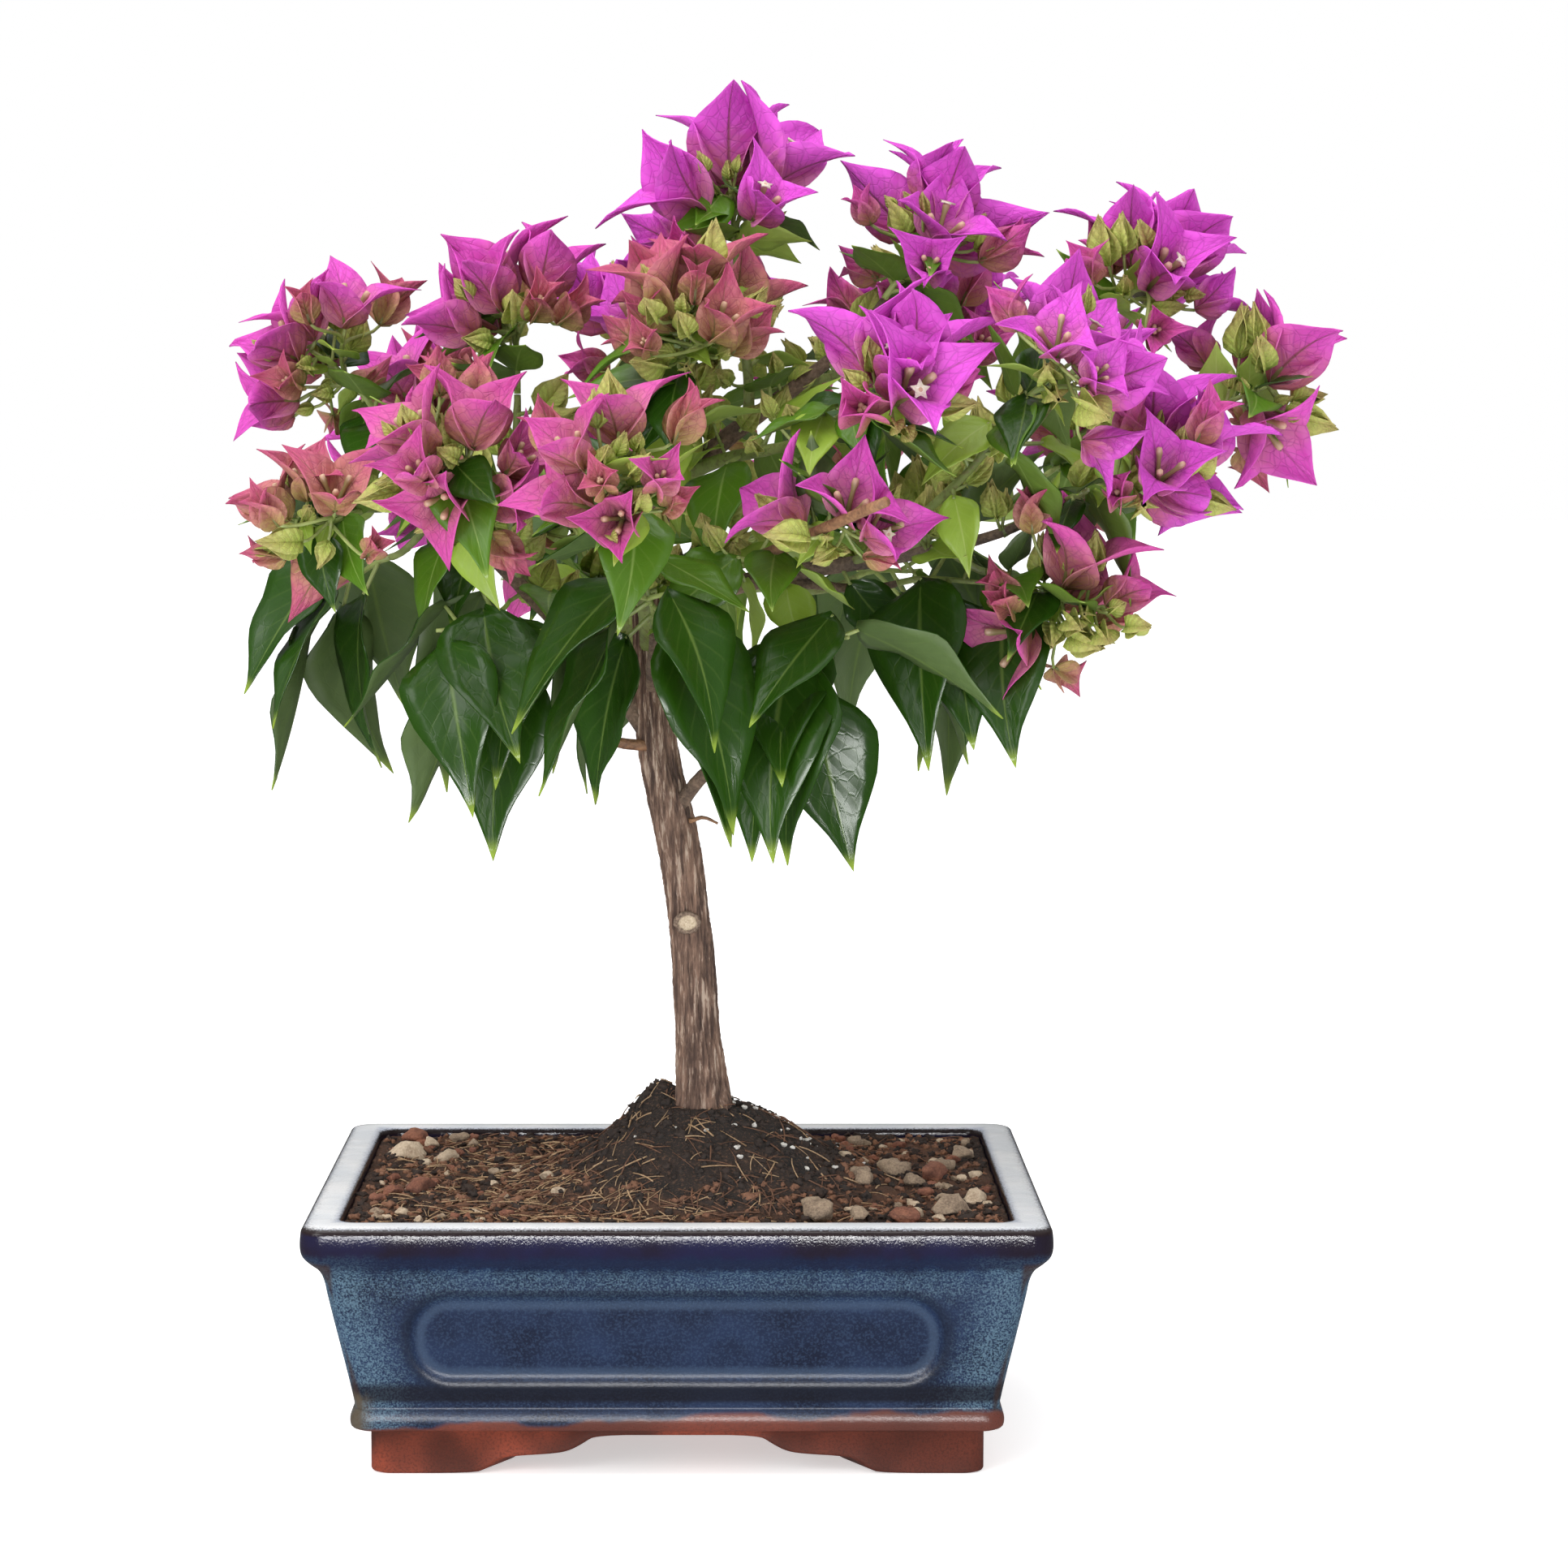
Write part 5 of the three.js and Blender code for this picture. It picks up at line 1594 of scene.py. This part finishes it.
# %% Shapes of bracts, buds and leaves
bract_shapes = [
    blade_template(
        BRACT_EDGE, half_width=0.34, rows=12, columns=6,
        lift=bract_lift(rise, bend, cup, wave, phase), thickness=0.008, sway=sway,
    )
    for rise, bend, cup, wave, phase, sway in (
        (0.36, 0.42, 0.1, 0.024, 0, 0.05), (0.44, 0.6, 0.08, 0.032, 1.3, -0.06),
        (0.3, 0.28, 0.13, 0.022, 2.6, 0.02), (0.42, 0.64, 0.09, 0.03, 4.1, 0.08),
        (0.4, 0.5, 0.12, 0.038, 5.2, -0.04), (0.24, 0.18, 0.14, 0.02, 0.7, 0.03),
    )
]
bud_shapes = [
    blade_template(
        BRACT_EDGE, half_width=0.36, rows=6, columns=4,
        lift=bract_lift(rise=-0.12, bend=-0.34, cup=0.16, wave=0.01, phase=phase), thickness=0.012,
    )
    for phase in (0, 2)
]
leaf_shapes = [
    blade_template(
        LEAF_EDGE, half_width=0.29, rows=14, columns=6,
        lift=leaf_lift(droop, keel, wave, phase), thickness=0.008, sway=sway,
    )
    for droop, keel, wave, phase, sway in (
        (0.16, 0.05, 0.032, 0, 0.1), (0.26, 0.07, 0.04, 1.4, -0.12), (0.06, 0.04, 0.026, 2.7, 0.05),
        (0.34, 0.06, 0.045, 4.0, -0.06), (-0.06, 0.08, 0.05, 5.1, 0.16),
    )
]
print("triangles in a bract:", len(bract_shapes[0].faces), "and in a leaf:", len(leaf_shapes[0].faces))

# %% [markdown]
# ### Veins and tints
#
# Bracts and leaves share one pattern: a midrib and side veins that run forward from it. It is a node
# group that reads how far along and across the blade a place is, from the blade's own map. All blades
# of a piece share one map, so the pattern is the same on each, and tints that differ are given to
# whole sprays as finishes of their own.

# %% Vein group
veins_group, given, wanted = new_group(
    "blade_veins",
    [("Along", "NodeSocketFloat"), ("Across", "NodeSocketFloat"), ("Count", "NodeSocketFloat")],
    [("Rib", "NodeSocketFloat"), ("Veins", "NodeSocketFloat"), ("Net", "NodeSocketFloat"),
     ("Relief", "NodeSocketFloat")],
)
along, across = given.outputs["Along"], reckon("ABSOLUTE", given.outputs["Across"])
rib = step_between(across, 0.07, 0.0)
forward = times(reckon("POWER", across, 0.8), 0.3)
phase = times(minus(along, forward), given.outputs["Count"])
saw = reckon("ABSOLUTE", minus(reckon("FRACT", phase), 0.5))
fading = times(step_between(saw, 0.12, 0.0), step_between(across, 1.0, 0.45))
flat = add_node(veins_group, "ShaderNodeCombineXYZ", {0: given.outputs["Across"], 1: times(along, 3.0)})
inputs = {"Vector": flat.outputs[0], "Scale": 3.4}
cells = add_node(veins_group, "ShaderNodeTexVoronoi", inputs, feature="DISTANCE_TO_EDGE")
net = step_between(cells.outputs["Distance"], 0.07, 0.0)
relief = minus(saw, times(rib, 0.6))
relief = minus(relief, times(net, 0.25))
wire(wanted, {"Rib": rib, "Veins": fading, "Net": net, "Relief": relief})
print("group made:", veins_group.name)


def blade_map(tree, vein_count):
    """How far along the blade a place is, whether it is on the back, the map, and the veins there."""
    flat = add_node(tree, "ShaderNodeUVMap", uv_map="OFBake").outputs[0]
    axes = axes_of(flat)
    under = reckon("GREATER_THAN", axes["X"], 0.5)
    across = minus(axes["X"], reckon("MULTIPLY_ADD", under, 0.5, MAP_MIDDLE))
    inputs = {"Along": axes["Y"], "Across": reckon("DIVIDE", across, MAP_HALF), "Count": vein_count}
    veins = add_node(tree, "ShaderNodeGroup", inputs, node_tree=veins_group)
    return axes["Y"], under, flat, veins.outputs


# %% Bract finishes
def bract_finish(name, body, flush, under_flush, flush_end):
    finish, tree, shader = new_finish(name)
    along, under, flat, veins = blade_map(tree, 7.0)
    mottle = clouds(flat, 7.0, 4.0)
    reach = reckon("MULTIPLY_ADD", minus(mottle, 0.5), 0.5, along)
    fade = step_between(reach, flush_end, 0.05)
    flush_colour = blend(under, flush, under_flush)
    colour = blend(fade, body, flush_colour)
    shade = blend(times(mottle, 0.35), colour, [c * 0.62 for c in body])
    lines = reckon("MAXIMUM", veins["Veins"], times(veins["Net"], 0.6))
    lined = blend(times(lines, 0.5), shade, [c * 0.5 for c in body])
    rib = times(veins["Rib"], reckon("MULTIPLY_ADD", under, 0.4, 0.4))
    colour = blend(rib, lined, [c * 0.42 for c in under_flush])
    wire(shader, {"Base Color": colour, "Roughness": 0.6, "Specular IOR Level": 0.25})
    wire(shader, {"Subsurface Weight": 0.2, "Subsurface Radius": (0.002, 0.001, 0.002)})
    bump(shader, veins["Relief"], 0.5, 0.0009)
    return finish


# Colour of a bract, of the flush at its foot in front and behind, and how far the flush goes
TINTS = {
    "violet": ((0.7, 0.085, 0.62), (0.66, 0.24, 0.36), (0.48, 0.13, 0.16), 0.58),
    "magenta": ((0.7, 0.085, 0.52), (0.62, 0.25, 0.3), (0.47, 0.16, 0.12), 0.72),
    "rose": ((0.64, 0.08, 0.38), (0.57, 0.25, 0.22), (0.46, 0.23, 0.1), 0.85),
    "salmon": ((0.56, 0.09, 0.21), (0.53, 0.3, 0.17), (0.43, 0.34, 0.1), 0.95),
    "budding": ((0.5, 0.42, 0.15), (0.5, 0.58, 0.13), (0.46, 0.6, 0.11), 1.1),
}
print("bract tints:", list(TINTS))

# %% Bracts
TURN_UP, OPENED_SHARE = 0.5, 0.86
# Flowers look up more than the test supposed, and are a little less open
for flower in flowers:
    flower.axis = (flower.axis + UP * TURN_UP).normalized()
gatherings = {tint: Gathering() for tint in TINTS}
chance = np.random.default_rng(5)
for flower in [*flowers, *buds]:
    closed = flower.tint == "budding"
    for along, across, facing in flower.bracts(1 if closed else OPENED_SHARE):
        shapes = bud_shapes if closed else bract_shapes
        shape = shapes[chance.integers(len(shapes))]
        size = flower.length * chance.uniform(0.92, 1.05)
        gatherings[flower.tint].copy(shape, np.array([along, across, facing]) * size, flower.root)
blossom_nodes = [f"mass_{spray.name}" for spray in sprays if not spray.hangs]
for tint, gathered in gatherings.items():
    name = f"bracts_{tint}"
    stands_for = blossom_nodes if tint == "violet" else ()
    hand_over(name, gathered.mesh(name), bract_finish(f"bract_{tint}", *TINTS[tint]), stands_for)


# %% Leaf finishes
def leaf_finish(name, top, below, rib_colour, tip_colour, gloss):
    finish, tree, shader = new_finish(name)
    along, under, flat, veins = blade_map(tree, 8.0)
    mottle = clouds(flat, 5.0, 4.0)
    side = blend(under, top, below)
    colour = blend(times(mottle, 0.5), side, [c * 0.55 for c in top])
    colour = blend(times(veins["Veins"], 0.1), colour, rib_colour)
    colour = blend(times(veins["Rib"], 0.55), colour, rib_colour)
    colour = blend(step_between(along, 0.86, 0.99), colour, tip_colour)
    roughness = step_between(under, 0, 1, gloss, 0.55)
    wire(shader, {"Base Color": colour, "Roughness": roughness, "Specular IOR Level": 0.33})
    bump(shader, veins["Relief"], 0.15, 0.0007)
    return finish


# Colour of the face, the back, the veins and the tip, and roughness of the face
LEAF_TINTS = {
    "old": ((0.02, 0.07, 0.003), (0.12, 0.19, 0.055), (0.16, 0.25, 0.05), (0.32, 0.45, 0.05), 0.28),
    "young": ((0.085, 0.2, 0.01), (0.16, 0.26, 0.035), (0.28, 0.4, 0.1), (0.3, 0.42, 0.07), 0.33),
    "fresh": ((0.32, 0.48, 0.05), (0.38, 0.52, 0.1), (0.46, 0.56, 0.16), (0.42, 0.48, 0.1), 0.45),
}
print("leaf tints:", list(LEAF_TINTS))

# %% Leaves
LARGE_LEAF, LARGE_SWING, SMALL_SWING, ROLL, TIP_CLEAR = 40, 0.25, 0.5, 0.6, 14


def leaf_turn(leaf):
    """A chance swing and roll. A large leaf that would swing in front of the trunk goes the other way."""
    large = leaf.size > LARGE_LEAF
    swing = LARGE_SWING if large else SMALL_SWING
    turn = Matrix.Rotation(chance.uniform(-swing, swing), 3, leaf.facing)
    tip = leaf.root + turn @ leaf.along * leaf.size
    if large and tip.y < 0 and abs(tip.x - TRUNK_BEND[-3]) < TIP_CLEAR:
        turn.transpose()
    return turn @ Matrix.Rotation(chance.uniform(-ROLL, ROLL), 3, leaf.along)


skirt_nodes = [f"mass_{spray.name}" for spray in sprays if spray.hangs]
for kind, tint in LEAF_TINTS.items():
    gathered = Gathering()
    for leaf in leaves:
        if leaf.kind == kind:
            turn = leaf_turn(leaf)
            basis = np.array([turn @ leaf.along, turn @ leaf.across, turn @ leaf.facing]) * leaf.size
            gathered.copy(leaf_shapes[chance.integers(len(leaf_shapes))], basis, leaf.root)
    name = f"leaves_{kind}"
    stands_for = skirt_nodes if kind == "old" else ()
    hand_over(name, gathered.mesh(name), leaf_finish(name, *tint), stands_for)

# %% [markdown]
# ## Flower tubes and stalks
#
# The true flowers are the slim tubes inside the bracts, one to each bract, greenish with a swollen
# pinkish tip. A few have opened into a small cream star. Stalks and stems are thin green tubes.

# %% Flower tubes
tube_finish, tree, shader = new_finish("flower_tubes")
flat = add_node(tree, "ShaderNodeUVMap", uv_map="OFBake").outputs[0]
run = axes_of(flat)["Y"]
colour = blend(step_between(run, 0.1, 0.75), (0.18, 0.19, 0.05), (0.3, 0.25, 0.1))
colour = blend(step_between(run, 0.78, 0.98), colour, (0.55, 0.36, 0.24))
wire(shader, {"Base Color": colour, "Roughness": 0.5})

bm = bmesh.new()
bmesh.ops.create_circle(bm, cap_ends=True, segments=6, radius=0.055)
loop = bm.edges[:]
for rise, radius in ((0.2, 0.07), (0.25, 0.055), (0.25, 0.055), (0.18, 0.085), (0.1, 0.07), (0.02, 0.02)):
    verts, loop = ring_from(bm, loop)
    here = max(vert.co.xy.length for vert in verts)
    bmesh.ops.scale(bm, vec=(radius / here, radius / here, 1), verts=verts)
    bmesh.ops.translate(bm, vec=(0, 0, rise), verts=verts)
bmesh.ops.contextual_create(bm, geom=loop)
bmesh.ops.rotate(bm, matrix=Matrix.Rotation(math.pi / 2, 3, "Y"), verts=bm.verts)
bmesh.ops.recalc_face_normals(bm, faces=bm.faces)
tube_shape = Template(bm, lambda face, corner: (0.5, 0.02 + 0.96 * min(max(corner.vert.co.x, 0), 1)))
print("triangles in a flower tube:", len(tube_shape.faces))

# %% Open flowers
# A star of five lobes on the tube's tip
STAR_RADIUS, OPEN_SHARE = 0.19, 0.1
bm = bmesh.new()
bmesh.ops.create_circle(bm, cap_ends=True, segments=10, radius=STAR_RADIUS)
for vert in list(bm.verts)[::2]:
    vert.co *= 0.5
bmesh.ops.solidify(bm, geom=bm.faces[:], thickness=0.04)
bmesh.ops.rotate(bm, matrix=Matrix.Rotation(math.pi / 2, 3, "Y"), verts=bm.verts)
bmesh.ops.translate(bm, vec=(0.99, 0, 0), verts=bm.verts)
bmesh.ops.recalc_face_normals(bm, faces=bm.faces)
star_shape = Template(bm)
stars = Gathering()
gathered = Gathering()
for flower in flowers:
    for along, across, facing in flower.bracts():
        way = (along * 0.75 + flower.axis * 0.5 + facing * 0.1).normalized()
        side = way.cross(across).normalized()
        size = min(0.5 * flower.length, 16)
        basis = np.array([way, side.cross(way), side]) * size
        gathered.copy(tube_shape, basis, flower.root + facing * 0.6)
        if flower.tint in ("violet", "magenta") and chance.random() < OPEN_SHARE:
            stars.copy(star_shape, basis, flower.root + facing * 0.6)
hand_over("flower_tubes", gathered.mesh("flower_tubes"), tube_finish)
cream = mineral("cream", (0.66, 0.6, 0.4), (0.88, 0.85, 0.7), roughness=0.6)
hand_over("open_flowers", stars.mesh("open_flowers"), cream)

# %% Stems and stalks
stalk_green = flecked(
    "stalk_green", scales=(0.08, 0.9), dark=(0.2, 0.27, 0.06), light=(0.4, 0.48, 0.15),
    fleck=(0.2, 0.12, 0.06), fleck_range=(0.6, 0.95, 0, 0.3), roughness=0.5, relief=0.0003,
)
gathered = Gathering()
for stalk in stalks:
    gathered.add(*tube(stalk.curve, taper(stalk.foot, stalk.tip), sides=6, steps=6))
hand_over("stalks", gathered.mesh("stalks"), stalk_green)
